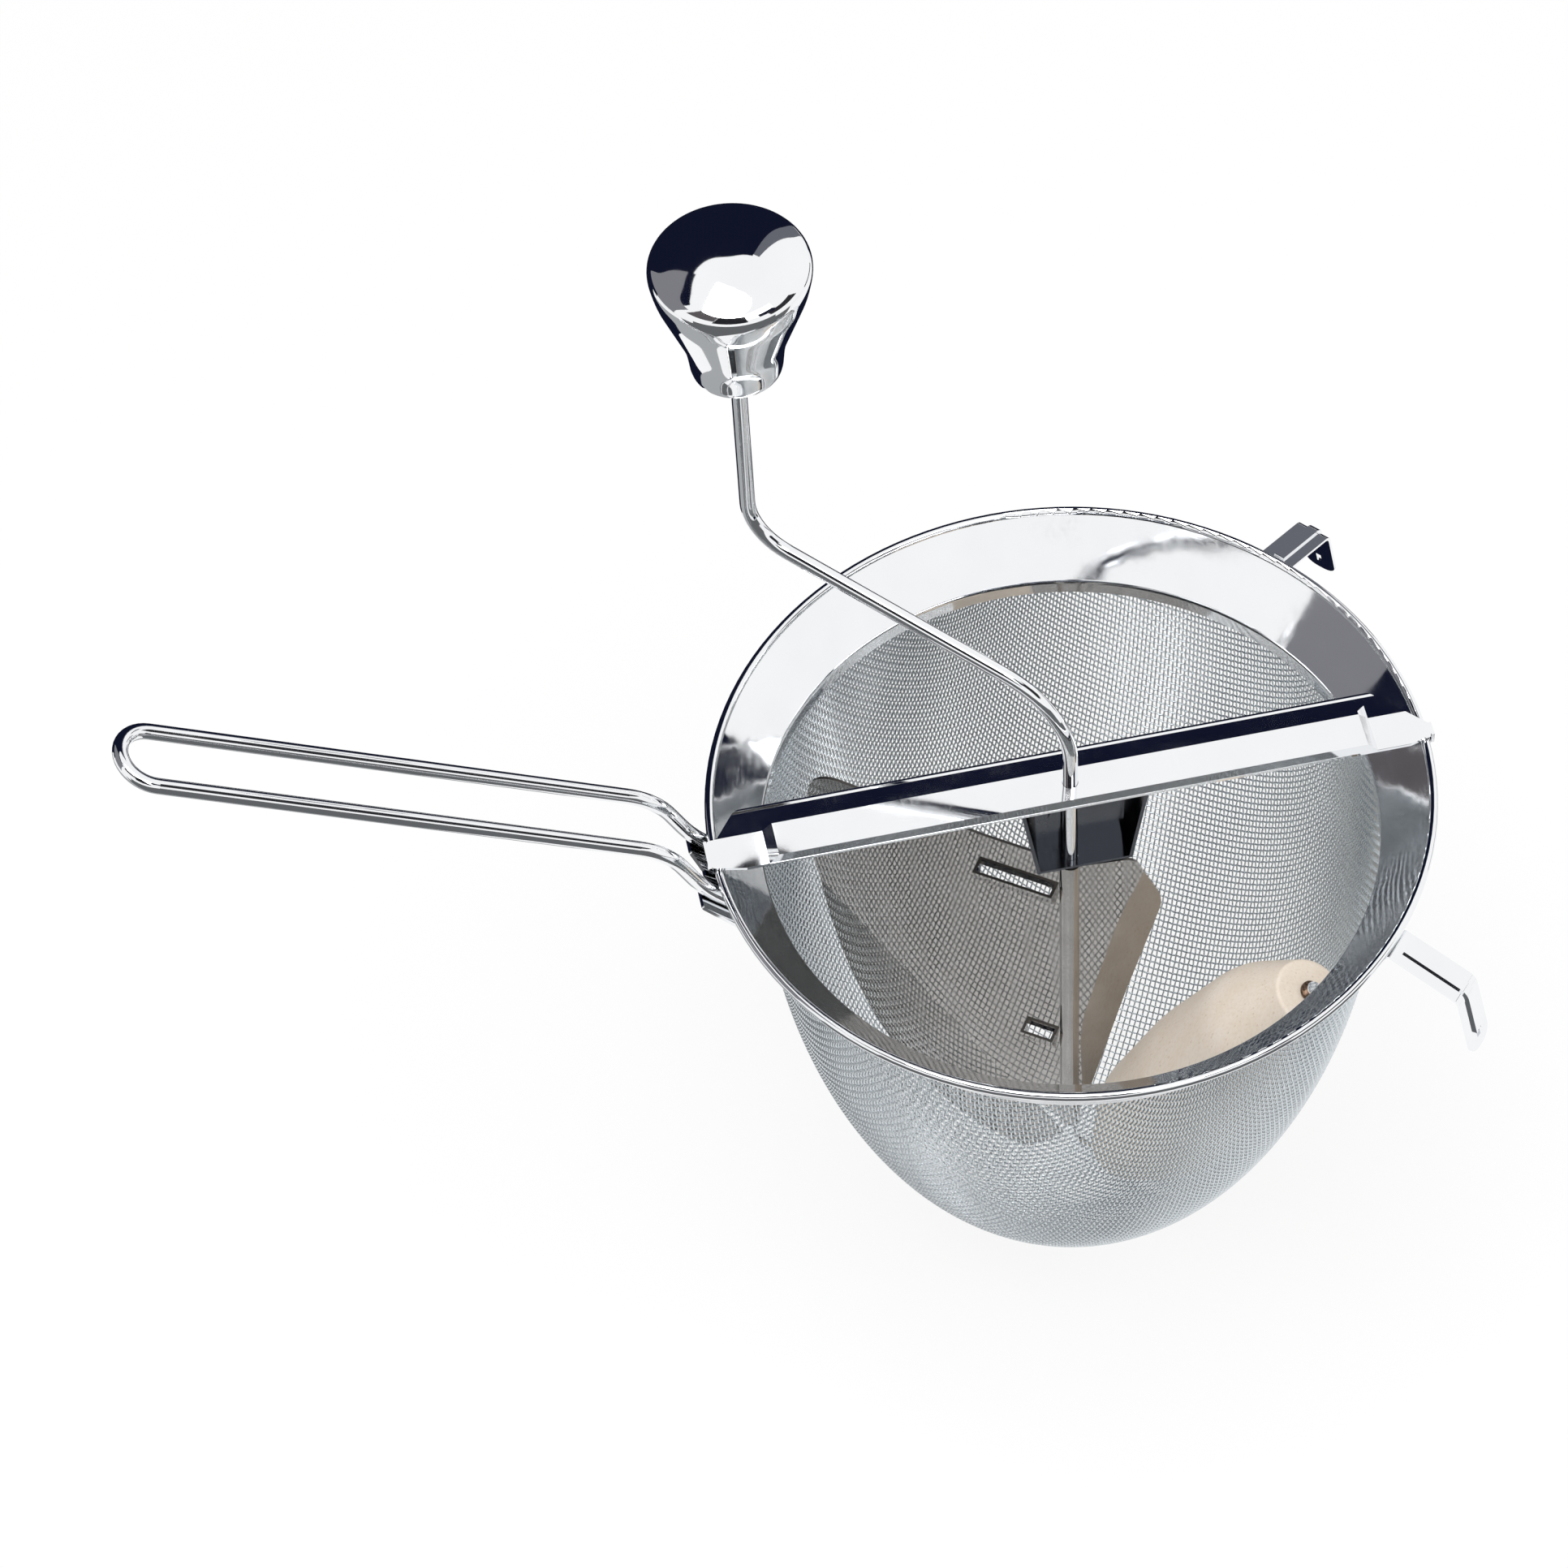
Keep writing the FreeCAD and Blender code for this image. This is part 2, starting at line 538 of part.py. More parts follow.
def make_hook(name, angle):
    """A strip hook: welded up under the flange, out over the pan's wall and down, with a pressed rib."""
    body = new_body(name, Placement(Vector(0, 0, 0), Rotation(Vector(0, 0, 1), angle)))
    root = off_flange("hook_root", "hook_root_depth + sheet / 2")
    brow = ("rim_radius - hook_brow", "-bead_radius - hook_brow_depth - sheet / 2")
    knuckle = ("rim_radius + hook_knuckle", "-hook_knuckle_depth - sheet / 2")
    tip = ("rim_radius + hook_knuckle + hook_tip - sheet / 2", "-hook_tip_depth")
    route = new_sketch(body, name.title() + "Route", "XZ_Plane")
    draw(route, [
        (*root, None),
        (*brow, "1.2"),
        (*knuckle, "3.5"),
        (*tip, None),
    ], closed=False)
    sweep(body, route, lambda section: rectangle(
        section, "-hook_width / 2", "hook_width / 2", "-sheet / 2", "sheet / 2"))
    tips = edges_where(body.Shape, lambda e: abs(e.Length - size("sheet")) < 0.05
                       and e.BoundBox.ZMax < -size("hook_knuckle_depth") - 5)
    dress(body, "Fillet", tips, "hook_width * 0.42")
    crest = new_sketch(body, name.title() + "Rib", "XZ_Plane")
    draw(crest, [
        (partway(brow[0], knuckle[0], 0.12), partway(brow[1], knuckle[1], 0.12), None),
        (*knuckle, "3.5"),
        (partway(knuckle[0], tip[0], 0.7), partway(knuckle[1], tip[1], 0.7), None),
    ], closed=False)
    sweep(body, crest, lambda section: rectangle(
        section, "-hook_rib / 2", "hook_rib / 2", "0", "sheet / 2 + hook_rib_rise"))
    slot = new_sketch(body, name.title() + "Slot", "YZ_Plane", "rim_radius + hook_knuckle - 4")
    middle = partway("-hook_tip_depth", "-hook_knuckle_depth", 0.17)
    rectangle(slot, "-hook_slot / 2", "hook_slot / 2", middle, middle + " + hook_slot_length")
    pocket(body, slot, "14", backwards=True)
    PARTS[name] = body


# ---------------------------------------------------------------- the bridge and its guide bracket

def make_bridge():
    """A pressed strip across the rim: a raised rib with a flange behind it, and tabs over the bead."""
    body = new_body("bridge_bar")
    under = "bead_radius + bridge_gap"
    top = under + " + sheet"
    half = "(rim_radius - bridge_half)"
    end = "(rim_radius + bridge_end)"
    rib_end = "(rim_radius - rib_half)"
    plate = new_sketch(body, "BridgeOutline", "XY_Plane", under)
    draw(plate, [
        (f"-{half}", "-bridge_near", "1.5"),
        (f"{half} + 3", "-bridge_near", "1.5"),
        (end, "-tab_half", "0.8"),
        (end, "tab_half - tab_short", None),
        (half, "bridge_far - corner_cut", None),
        (f"{half} - corner_cut", "bridge_far", "2"),
        (f"-{half}", "bridge_far", "3"),
        (f"-{half} - bridge_shoulder", "tab_half", "2"),
        (f"-{end}", "tab_half", "0.8"),
        (f"-{end}", "-tab_half", "0.8"),
    ])
    pad(body, plate, "sheet")
    foot = new_sketch(body, "RibFoot", "XY_Plane", under + " + sheet * 0.5")
    rectangle(foot, f"-{rib_end} - rib_slope", f"{rib_end} + rib_slope", "-bridge_near", "rib_foot_far")
    crest = new_sketch(body, "RibCrest", "XY_Plane", top + " + rib_rise")
    rectangle(crest, f"-{rib_end}", rib_end, "-bridge_near + 0.6", "rib_top_far")
    rib = body.newObject("PartDesign::AdditiveLoft", "Rib")
    rib.Profile = foot
    rib.Sections = [crest]
    rib.Ruled = True
    doc.recompute()
    hollow_foot = new_sketch(body, "RibHollowFoot", "XY_Plane", under + " - 0.01")
    rectangle(hollow_foot, f"-{rib_end} - rib_slope", f"{rib_end} + rib_slope",
              "-bridge_near + sheet", "rib_foot_far - 0.3")
    hollow_crest = new_sketch(body, "RibHollowCrest", "XY_Plane", under + " + rib_rise")
    rectangle(hollow_crest, f"-{rib_end} + sheet * 0.5", f"{rib_end} - sheet * 0.5",
              "-bridge_near + 0.6 + sheet", "rib_top_far - sheet * 0.6")
    hollow = body.newObject("PartDesign::SubtractiveLoft", "RibHollow")
    hollow.Profile = hollow_foot
    hollow.Sections = [hollow_crest]
    hollow.Ruled = True
    doc.recompute()
    for name, left, right, high in (
        ("TabLipLeft", f"-{end} - sheet", f"-{end}", "tab_half"),
        ("TabLipRight", end, f"{end} + sheet", "tab_half - tab_short"),
    ):
        lip = new_sketch(body, name, "XY_Plane", top)
        rectangle(lip, left, right, "-tab_half", high)
        pad(body, lip, "tab_drop", backwards=True)
    hole = new_sketch(body, "BridgeHole", "XY_Plane", under)
    circle(hole, "0", "0", "rod_radius + rod_play")
    pocket(body, hole, "10", backwards=True)
    PARTS["bridge_bar"] = body


def bracket_face(body, name, offset, inset, flare_top, flare_low, top):
    """One end of the bracket's pan: a trapezium, narrower at the bottom, in an upright plane."""
    sketch = new_sketch(body, name, "XZ_Plane", offset)
    upper = f"bracket_top_half + {flare_top} - {inset}"
    lower = f"bracket_low_half + {flare_low} - {inset}"
    draw(sketch, [
        (f"bracket_shift - ({lower})", f"-bracket_floor + {inset}", None),
        (f"bracket_shift + ({lower})", f"-bracket_floor + {inset}", None),
        (f"bracket_shift + ({upper})", top, None),
        (f"bracket_shift - ({upper})", top, None),
    ])
    return sketch


def make_bracket():
    """A pan-shaped guide bracket, open to the front and top, whose floor guides the crank's wire."""
    body = new_body("guide_bracket")
    under = "bead_radius + bridge_gap"
    back = bracket_face(body, "PanBack", "-bracket_back", "0", "0", "0", under)
    front = bracket_face(body, "PanFront", "bracket_front", "0", "bracket_flare", "bracket_low_flare", under)
    pan = body.newObject("PartDesign::AdditiveLoft", "Pan")
    pan.Profile = back
    pan.Sections = [front]
    pan.Ruled = True
    doc.recompute()
    inner_back = bracket_face(body, "HollowBack", "-bracket_back + sheet", "sheet", "0", "0", under + " + 1")
    inner_front = bracket_face(body, "HollowFront", "bracket_front + 0.01", "sheet",
                               "bracket_flare", "bracket_low_flare", under + " + 1")
    hollow = body.newObject("PartDesign::SubtractiveLoft", "PanHollow")
    hollow.Profile = inner_back
    hollow.Sections = [inner_front]
    hollow.Ruled = True
    doc.recompute()
    flange = new_sketch(body, "TopFlange", "XY_Plane", under)
    rectangle(flange, "bracket_shift - bracket_top_half", "bracket_shift + bracket_top_half",
              "bracket_back - sheet", "bracket_back + bracket_flange")
    pad(body, flange, "sheet", backwards=True)
    boss = new_sketch(body, "Boss", "XZ_Plane", "-bracket_back + sheet")
    circle(boss, "0", "-boss_height", "boss_radius")
    pad(body, boss, "boss_rise")
    dimple = new_sketch(body, "BossHollow", "XZ_Plane", "-bracket_back")
    circle(dimple, "0", "-boss_height", "boss_radius - sheet")
    pocket(body, dimple, "boss_rise", backwards=True)
    hole = new_sketch(body, "FloorHole", "XY_Plane", "-bracket_floor - 1")
    circle(hole, "0", "0", "rod_radius + rod_play")
    pocket(body, hole, "4", backwards=True)
    PARTS["guide_bracket"] = body


# ---------------------------------------------------------------- the crank and what rides on it

def crank_turn():
    """The turn that brings a body's own XZ plane into the crank's plane."""
    return Placement(Vector(0, 0, 0), Rotation(Vector(0, 0, 1), size("crank_angle")))


def make_roller():
    """A turned wooden spindle, set against the mesh; returns the frame of its top end and how far it moved."""
    roller = new_body("wooden_roller")
    profile = new_sketch(roller, "RollerProfile", "XZ_Plane")
    draw(profile, [
        ("rod_radius + rod_play", "0", None),
        ("roller_end", "0", "1.2"),
        ("roller_belly * 0.95", f"{ROLLER} * 0.2", "40"),
        ("roller_belly + 1.15", f"{ROLLER} * 0.5", "110"),
        ("roller_belly * 0.95", f"{ROLLER} * 0.8", "40"),
        ("roller_end", ROLLER, "1.2"),
        ("rod_radius + rod_play", ROLLER, None),
    ])
    revolve(roller, profile)
    PARTS["wooden_roller"] = roller
    top = Vector(-size("roller_top_radius"), 0, -size("roller_top_depth"))
    axis = (Vector(-size("roller_low_radius"), 0, -size(ROLLER_LOW)) - top).normalize()
    side = Vector(0, 1, 0).cross(axis)
    outline = [point for edge in profile.Shape.Edges for point in edge.discretize(40)]
    across = size("lip_radius + sheet - roller_play")
    down = size("bowl_depth - roller_play")
    shoulder = Vector(0, 0, size("bowl_shoulder"))
    inward, outward = -across, across
    for _ in range(40):
        shift = (inward + outward) / 2
        held = [top + Vector(-shift, 0, 0) + axis * point.z + side * point.x + shoulder for point in outline]
        if max(math.hypot(place.x / across, place.z / down) for place in held) < 1:
            inward = shift
        else:
            outward = shift
    turned = Rotation(side, Vector(0, 1, 0), axis, "XYZ")
    roller.Placement = crank_turn().multiply(Placement(top + Vector(-inward, 0, 0), turned))
    return roller.Placement, inward


def make_crank(shift):
    """One bent wire: roller axle, hairpin, upright shaft, rising arm and the knob's stub."""
    body = new_body("crank_rod", crank_turn())
    path = new_sketch(body, "CrankPath", "XZ_Plane")
    slope = f"(roller_top_radius - roller_low_radius) / ({ROLLER_LOW} - roller_top_depth)"
    past = f"axle_past / {ROLLER}"
    low = f"(roller_low_radius + {shift:.4f})"
    room = f"({low} * {ROLLER} / (roller_top_radius - roller_low_radius) - end_play - stop_thick)"
    half_lean = "(atan(" + slope + ") / 2)"
    stub_top = "knob_bottom + bush_recess + bush_height + retainer_gap + retainer_thick + stub_past"
    draw(path, [
        (f"-roller_top_radius - {shift:.4f} - (roller_top_radius - roller_low_radius) * {past}",
         f"-roller_top_depth + ({ROLLER_LOW} - roller_top_depth) * {past}", None),
        ("0", f"-{ROLLER_LOW} - {low} / ({slope})", f"min(hairpin_bend; {room} * tan({half_lean}))"),
        ("0", "arm_root_up", "arm_root_bend"),
        ("arm_length", "arm_root_up + arm_rise", "arm_end_bend"),
        ("arm_length", stub_top, None),
    ], closed=False)
    wire_pipe(body, path, "rod_radius")
    PARTS["crank_rod"] = body


def make_knob():
    """A hollow mushroom knob on a plastic bush, kept on the stub by a push-on washer."""
    seat = Placement(crank_turn().multVec(Vector(size("arm_length"), 0, size("knob_bottom"))), Rotation())
    shell = new_body("knob_shell", seat)
    profile = new_sketch(shell, "KnobProfile", "XZ_Plane")
    draw(profile, [
        ("knob_neck - knob_wall", "0", None),
        ("knob_neck", "0", "0.6"),
        ("knob_waist", "knob_waist_up", "30"),
        ("knob_flare", "knob_edge_low", "14"),
        ("knob_head", "knob_edge_top", "3.2"),
        ("knob_head * 0.42", "knob_top", "30"),
        ("0", "knob_top", None),
        ("0", "knob_top - knob_wall", None),
        ("knob_head * 0.42", "knob_top - knob_wall", "28.6"),
        ("knob_head - knob_wall * 1.5", "knob_edge_top - knob_wall * 0.4", "1.8"),
        ("knob_flare - knob_wall", "knob_edge_low + knob_wall * 0.2", "12.6"),
        ("knob_waist - knob_wall", "bush_recess + bush_height + 1.5", "4"),
        ("knob_neck - knob_wall", "bush_recess + bush_height", None),
    ])
    revolve(shell, profile)
    PARTS["knob_shell"] = shell
    bush = new_body("knob_bush", seat)
    sketch = new_sketch(bush, "BushProfile", "XZ_Plane", "0")
    rectangle(sketch, "rod_radius + rod_play", "knob_neck - knob_wall",
              "bush_recess", "bush_recess + bush_height")
    revolve(bush, sketch)
    PARTS["knob_bush"] = bush
    retainer = new_body("knob_retainer", seat)
    sketch = new_sketch(retainer, "RetainerProfile", "XZ_Plane")
    low = "bush_recess + bush_height + retainer_gap"
    rectangle(sketch, "rod_radius", "retainer_radius", low, low + " + retainer_thick")
    revolve(retainer, sketch)
    PARTS["knob_retainer"] = retainer


def make_roller_ends(frame):
    """The cap pressed on the axle's end and the washer under the roller."""
    for name, radius, low, high in (
        ("roller_end_cap", "cap_radius", "-end_play - cap_thick", "-end_play"),
        ("roller_stop", "stop_radius", f"{ROLLER} + end_play", f"{ROLLER} + end_play + stop_thick"),
    ):
        body = new_body(name, frame)
        sketch = new_sketch(body, name.title().replace("_", "") + "Profile", "XZ_Plane")
        draw(sketch, [
            ("rod_radius", low, None),
            (radius, low, "0.3"),
            (radius, high, "0.3"),
            ("rod_radius", high, None),
        ])
        revolve(body, sketch)
        PARTS[name] = body


# ---------------------------------------------------------------- the paddle

def louvre(body, name, length, depth):
    """A lanced louvre: a slot through the sheet, and below it a hollow hood that opens upward."""
    hood = new_sketch(body, name + "Hood", "YZ_Plane", f"louvre_start + {length} / 2")
    draw(hood, [
        ("0.1", f"-{depth}", None),
        ("blade + louvre_rise", f"-{depth}", None),
        ("blade + louvre_rise", f"-{depth} - 1", None),
        ("blade - 0.1", f"-{depth} - louvre_height", None),
        ("0.1", f"-{depth} - louvre_height", None),
    ])
    pad(body, hood, length, both_ways=True)
    mouth = new_sketch(body, name + "Mouth", "YZ_Plane", f"louvre_start + {length} / 2")
    draw(mouth, [
        ("-0.1", f"-{depth} + 0.8", None),
        ("louvre_rise", f"-{depth} + 0.8", None),
        ("louvre_rise", f"-{depth} - 0.6", None),
        ("-0.1", f"-{depth} - louvre_height + 1.6", None),
    ])
    pocket(body, mouth, f"{length} - 2 * sheet", both_ways=True)


def make_paddle():
    """A stamped scraper: a spine round the wire, a wide wing with a folded edge and a narrow wing."""
    body = new_body("PaddleBlank", crank_turn())
    shaft = "rod_radius + 0.02"
    fold_low = f"({BOTTOM} - fold_low_depth)"
    spine = new_sketch(body, "Spine", "XY_Plane", f"-{BLADE_LOW}")
    circle(spine, "0", "0", f"{shaft} + blade")
    pad(body, spine, f"{BLADE_LOW} - blade_top")
    wing = new_sketch(body, "WideWing", "XZ_Plane", "-blade")
    draw(wing, [
        (shaft, "-blade_top", None),
        ("blade_reach * 0.32", "-blade_top", "20"),
        ("blade_reach", "-blade_corner_depth", "9"),
        ("blade_reach + 3", "-fold_high_depth + 18", None),
        ("fold_high_radius + 4", "-fold_high_depth + 5", None),
        ("fold_high_radius", "-fold_high_depth", None),
        ("fold_low_radius", f"-{fold_low}", None),
        (shaft, f"-{BLADE_LOW}", None),
    ])
    pad(body, wing, "blade")
    narrow = body.newObject("Sketcher::SketchObject", "NarrowWing")
    plane = next(item for item in body.Origin.OriginFeatures if item.Role == "XZ_Plane")
    narrow.AttachmentSupport = [(plane, "")]
    narrow.MapMode = "FlatFace"
    turned = Rotation(Vector(0, 1, 0), size("wing_fold"))
    narrow.AttachmentOffset = Placement(Vector(-size(shaft), 0, 0), turned)
    draw(narrow, [
        ("1.2", "-blade_top", None),
        ("-wing_top", "-blade_top", "5"),
        ("-wing_reach", "-wing_reach_depth", "16"),
        ("-wing_taper", "-wing_taper_depth", "60"),
        ("-wing_tail", f"wing_tail_depth - {BOTTOM}", None),
        ("0.8", f"-{BLADE_LOW}", None),
    ])
    pad(body, narrow, "blade", backwards=True)
    strip = body.newObject("Sketcher::SketchObject", "FoldedStrip")
    strip.AttachmentSupport = [(plane, "")]
    strip.MapMode = "FlatFace"
    fold = Vector(size("fold_low_radius"), -size(fold_low), 0)
    high = Vector(size("fold_high_radius"), -size("fold_high_depth"), 0)
    bearing = math.degrees(math.atan2(high.y - fold.y, high.x - fold.x))
    turned = Rotation(Vector(0, 0, 1), bearing).multiply(Rotation(Vector(1, 0, 0), size("blade_fold")))
    strip.AttachmentOffset = Placement(fold, turned)
    crease = (high - fold).Length
    draw(strip, [
        ("-26", "0.5", None),
        (f"{crease:.3f} + 8", "0.5", None),
        (f"{crease:.3f} + 8", "-30", None),
        ("-26", "-40", None),
    ])
    pad(body, strip, "blade", backwards=True)
    louvre(body, "UpperLouvre", "louvre_long", "louvre_depth")
    louvre(body, "LowerLouvre", "louvre_short", "louvre_short_depth")
    bore = new_sketch(body, "SpineBore", "XY_Plane", f"-{BLADE_LOW} - 1")
    circle(bore, "0", "0", shaft)
    pocket(body, bore, f"{BLADE_LOW} - blade_top + 2", backwards=True)
    trim = doc.addObject("Part::Common", "paddle_blade")
    trim.Base = body
    trim.Tool = ellipsoid("PaddleSweep", "lip_radius + sheet - blade_gap", "bowl_depth - blade_gap")
    PARTS["paddle_blade"] = trim


make_rim()
make_bowl()
make_clamp_ring()
make_handle()
make_handle_plate()
make_hook("hook_front", -size("hook_angle"))
make_hook("hook_back", size("hook_angle"))
make_bridge()
make_bracket()
seat, moved = make_roller()
make_crank(moved)
make_knob()
make_roller_ends(seat)
make_paddle()

doc.removeObject(scratch.Name)
doc.recompute()

for item in doc.Objects:
    if {"Invalid", "Error"} & set(item.State):
        raise RuntimeError(f"{item.Name} failed: {item.State}")
os.makedirs("parts", exist_ok=True)
for name, part in PARTS.items():
    part.Label = name
    shape = part.Shape
    if shape.isNull() or not shape.isValid() or len(shape.Solids) != 1:
        raise RuntimeError(f"{name} isn't one valid solid: {len(shape.Solids)} solids, valid {shape.isValid()}")
    shape.exportStep(f"parts/{name}.step")
    print(f"{name:16s} volume {shape.Volume:10.1f} mm3")
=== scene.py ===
"""Finishes, woven bowl, studio and camera for the tomato strainer. Lengths are in metres."""

import json
import math

import bpy
import numpy as np
from mathutils import Matrix, Vector


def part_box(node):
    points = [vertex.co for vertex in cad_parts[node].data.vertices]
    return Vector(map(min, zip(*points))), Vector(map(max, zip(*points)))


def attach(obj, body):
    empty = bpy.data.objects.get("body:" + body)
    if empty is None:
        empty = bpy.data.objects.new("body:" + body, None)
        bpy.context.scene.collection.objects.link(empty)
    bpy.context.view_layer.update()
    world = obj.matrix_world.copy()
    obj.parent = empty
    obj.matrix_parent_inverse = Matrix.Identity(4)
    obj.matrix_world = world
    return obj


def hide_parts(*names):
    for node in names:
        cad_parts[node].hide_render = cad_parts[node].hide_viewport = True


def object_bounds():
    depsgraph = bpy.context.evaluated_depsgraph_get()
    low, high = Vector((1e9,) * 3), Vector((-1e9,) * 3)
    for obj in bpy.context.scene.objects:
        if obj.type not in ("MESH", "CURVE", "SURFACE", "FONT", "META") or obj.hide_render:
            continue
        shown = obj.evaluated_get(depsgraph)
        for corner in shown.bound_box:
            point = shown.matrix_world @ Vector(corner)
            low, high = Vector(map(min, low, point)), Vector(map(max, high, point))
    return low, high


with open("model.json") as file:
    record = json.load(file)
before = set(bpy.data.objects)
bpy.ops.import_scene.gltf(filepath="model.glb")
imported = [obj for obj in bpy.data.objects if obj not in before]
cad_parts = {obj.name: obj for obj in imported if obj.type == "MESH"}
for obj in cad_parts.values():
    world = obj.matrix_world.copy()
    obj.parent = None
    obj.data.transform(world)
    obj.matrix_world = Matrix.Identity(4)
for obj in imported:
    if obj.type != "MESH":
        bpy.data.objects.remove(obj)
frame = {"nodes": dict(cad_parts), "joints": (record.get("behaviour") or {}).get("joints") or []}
nodes = frame["nodes"]
cad_low, cad_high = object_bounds()

# ---------------------------------------------------------------- camera

CAMERA_AZIMUTH = math.radians(-13.0)
CAMERA_ELEVATION = math.radians(53.967)
CAMERA_DISTANCE = 1.5
CAMERA_LENS = 126.03
SENSOR_WIDTH = 36.0
CLIP_END = 20.0
AIM_RIGHT = -0.0782
AIM_UP = 0.0024


def make_camera():
    """Looks past the crank's axis, so that handle and bowl together fill the frame."""
    flat = math.cos(CAMERA_ELEVATION)
    toward = Vector((
        math.sin(CAMERA_AZIMUTH) * flat,
        -math.cos(CAMERA_AZIMUTH) * flat,
        math.sin(CAMERA_ELEVATION),
    ))
    right = Vector((math.cos(CAMERA_AZIMUTH), math.sin(CAMERA_AZIMUTH), 0.0))
    upward = toward.cross(right)
    place = toward * CAMERA_DISTANCE
    back = (place - right * AIM_RIGHT - upward * AIM_UP).normalized()
    right = upward.cross(back).normalized()
    upward = back.cross(right)
    data = bpy.data.cameras.new("camera")
    data.lens = CAMERA_LENS
    data.sensor_width = SENSOR_WIDTH
    data.clip_end = CLIP_END
    camera = bpy.data.objects.new("camera", data)
    turn = Matrix((right, upward, back)).transposed().to_4x4()
    camera.matrix_world = Matrix.Translation(place) @ turn
    bpy.context.scene.collection.objects.link(camera)
    bpy.context.scene.camera = camera


make_camera()

# ---------------------------------------------------------------- node helpers


class Nodes:
    """A material's node tree with short calls for the nodes that the finishes share."""

    def __init__(self, name):
        self.material = bpy.data.materials.new(name)
        self.material.use_nodes = True
        self.tree = self.material.node_tree
        self.shader = self.tree.nodes["Principled BSDF"]

    @classmethod
    def of(cls, material):
        """The same calls for a material that is there already."""
        made = cls.__new__(cls)
        made.material = material
        made.tree = material.node_tree
        made.shader = made.tree.nodes["Principled BSDF"]
        return made

    def add(self, kind, **settings):
        made = self.tree.nodes.new(kind)
        for key, value in settings.items():
            if hasattr(made, key):
                setattr(made, key, value)
            else:
                made.inputs[key.replace("_", " ").title()].default_value = value
        return made

    def link(self, source, target):
        self.tree.links.new(source, target)

    def coordinates(self, scale=(1.0, 1.0, 1.0), turn=(0.0, 0.0, 0.0)):
        """Object coordinates, turned and stretched."""
        place = self.add("ShaderNodeTexCoord")
        mapping = self.add("ShaderNodeMapping")
        mapping.inputs["Rotation"].default_value = turn
        mapping.inputs["Scale"].default_value = scale
        self.link(place.outputs["Object"], mapping.inputs["Vector"])
        return mapping.outputs["Vector"]

    def noise(self, scale, detail=3.0, vector=None, distortion=0.0):
        made = self.add("ShaderNodeTexNoise", scale=scale, detail=detail, distortion=distortion)
        self.link(vector or self.coordinates(), made.inputs["Vector"])
        return made.outputs["Fac"]

    def span(self, source, low, high, start=0.0, end=1.0):
        """Maps start..end of source to low..high."""
        made = self.add("ShaderNodeMapRange")
        made.inputs["From Min"].default_value = start
        made.inputs["From Max"].default_value = end
        made.inputs["To Min"].default_value = low
        made.inputs["To Max"].default_value = high
        self.link(source, made.inputs["Value"])
        return made.outputs["Result"]

    def blend(self, factor, first, second):
        """A mix of two colours, or of a socket's colour and another."""
        made = self.add("ShaderNodeMix", data_type="RGBA")
        for socket, colour in (("A", first), ("B", second)):
            target = next(s for s in made.inputs if s.name == socket and s.type == "RGBA")
            if isinstance(colour, tuple):
                target.default_value = (*colour, 1.0)
            else:
                self.link(colour, target)
        self.link(factor, made.inputs[0])
        return next(s for s in made.outputs if s.type == "RGBA")

    def maths(self, operation, first, second):
        made = self.add("ShaderNodeMath", operation=operation)
        for index, value in enumerate((first, second)):
            if isinstance(value, (int, float)):
                made.inputs[index].default_value = value
            else:
                self.link(value, made.inputs[index])
        return made.outputs[0]

    def bump(self, height, depth, strength=1.0, under=None):
        """Relief as deep as depth metres."""
        made = self.add("ShaderNodeBump")
        made.inputs["Distance"].default_value = depth
        made.inputs["Strength"].default_value = strength
        self.link(height, made.inputs["Height"])
        if under:
            self.link(under, made.inputs["Normal"])
        return made.outputs["Normal"]


# ---------------------------------------------------------------- finishes

PLATED = (0.93, 0.94, 0.95)
PLATED_SHADE = (0.86, 0.87, 0.89)
RING_SHADE = (0.7, 0.71, 0.72)
# The bracket's near-black navy is painted shade and painted dark reflection from under the bridge.
BRACKET_PAINTED_SHADE = (0.125, 0.132, 0.148)
BRACKET_PAINTED_DEEP_SHADE = (0.075, 0.079, 0.09)
STEEL_SHADE = (0.33, 0.315, 0.30)
STEEL_LIGHT = (0.47, 0.455, 0.44)
STEEL_STAIN = (0.27, 0.235, 0.21)
STEEL_CUT = (0.10, 0.095, 0.09)
WIRE_SHADE = (0.66, 0.71, 0.745)
WIRE_LIGHT = (0.83, 0.875, 0.90)
WIRE_DULL = (0.46, 0.47, 0.48)
BEECH_LIGHT = (0.93, 0.83, 0.72)
BEECH_SHADE = (0.87, 0.75, 0.62)
BEECH_FIBRE = (0.76, 0.61, 0.47)
BEECH_FLECK = (0.66, 0.50, 0.36)
PLASTIC_SHADE = (0.018, 0.018, 0.02)
PLASTIC_LIGHT = (0.035, 0.034, 0.034)
SPRING = (0.45, 0.45, 0.46)
DARK_BROWN = (0.20, 0.13, 0.09)

# Depths of relief.
PLATING_GRAIN = 0.000002
SHEET_LINES = 0.000004
TOOL_RINGS = 0.00004
WOOD_FIBRE = 0.00006
PLASTIC_GRAIN = 0.00002
STEEL_PITS = 0.00001

# How the bridge's flat bands lean toward the front: start and end in Y, degrees.
ROLLED = ((-0.0064, 0.0047, 4.5), (0.0118, 0.0126, 9.0))


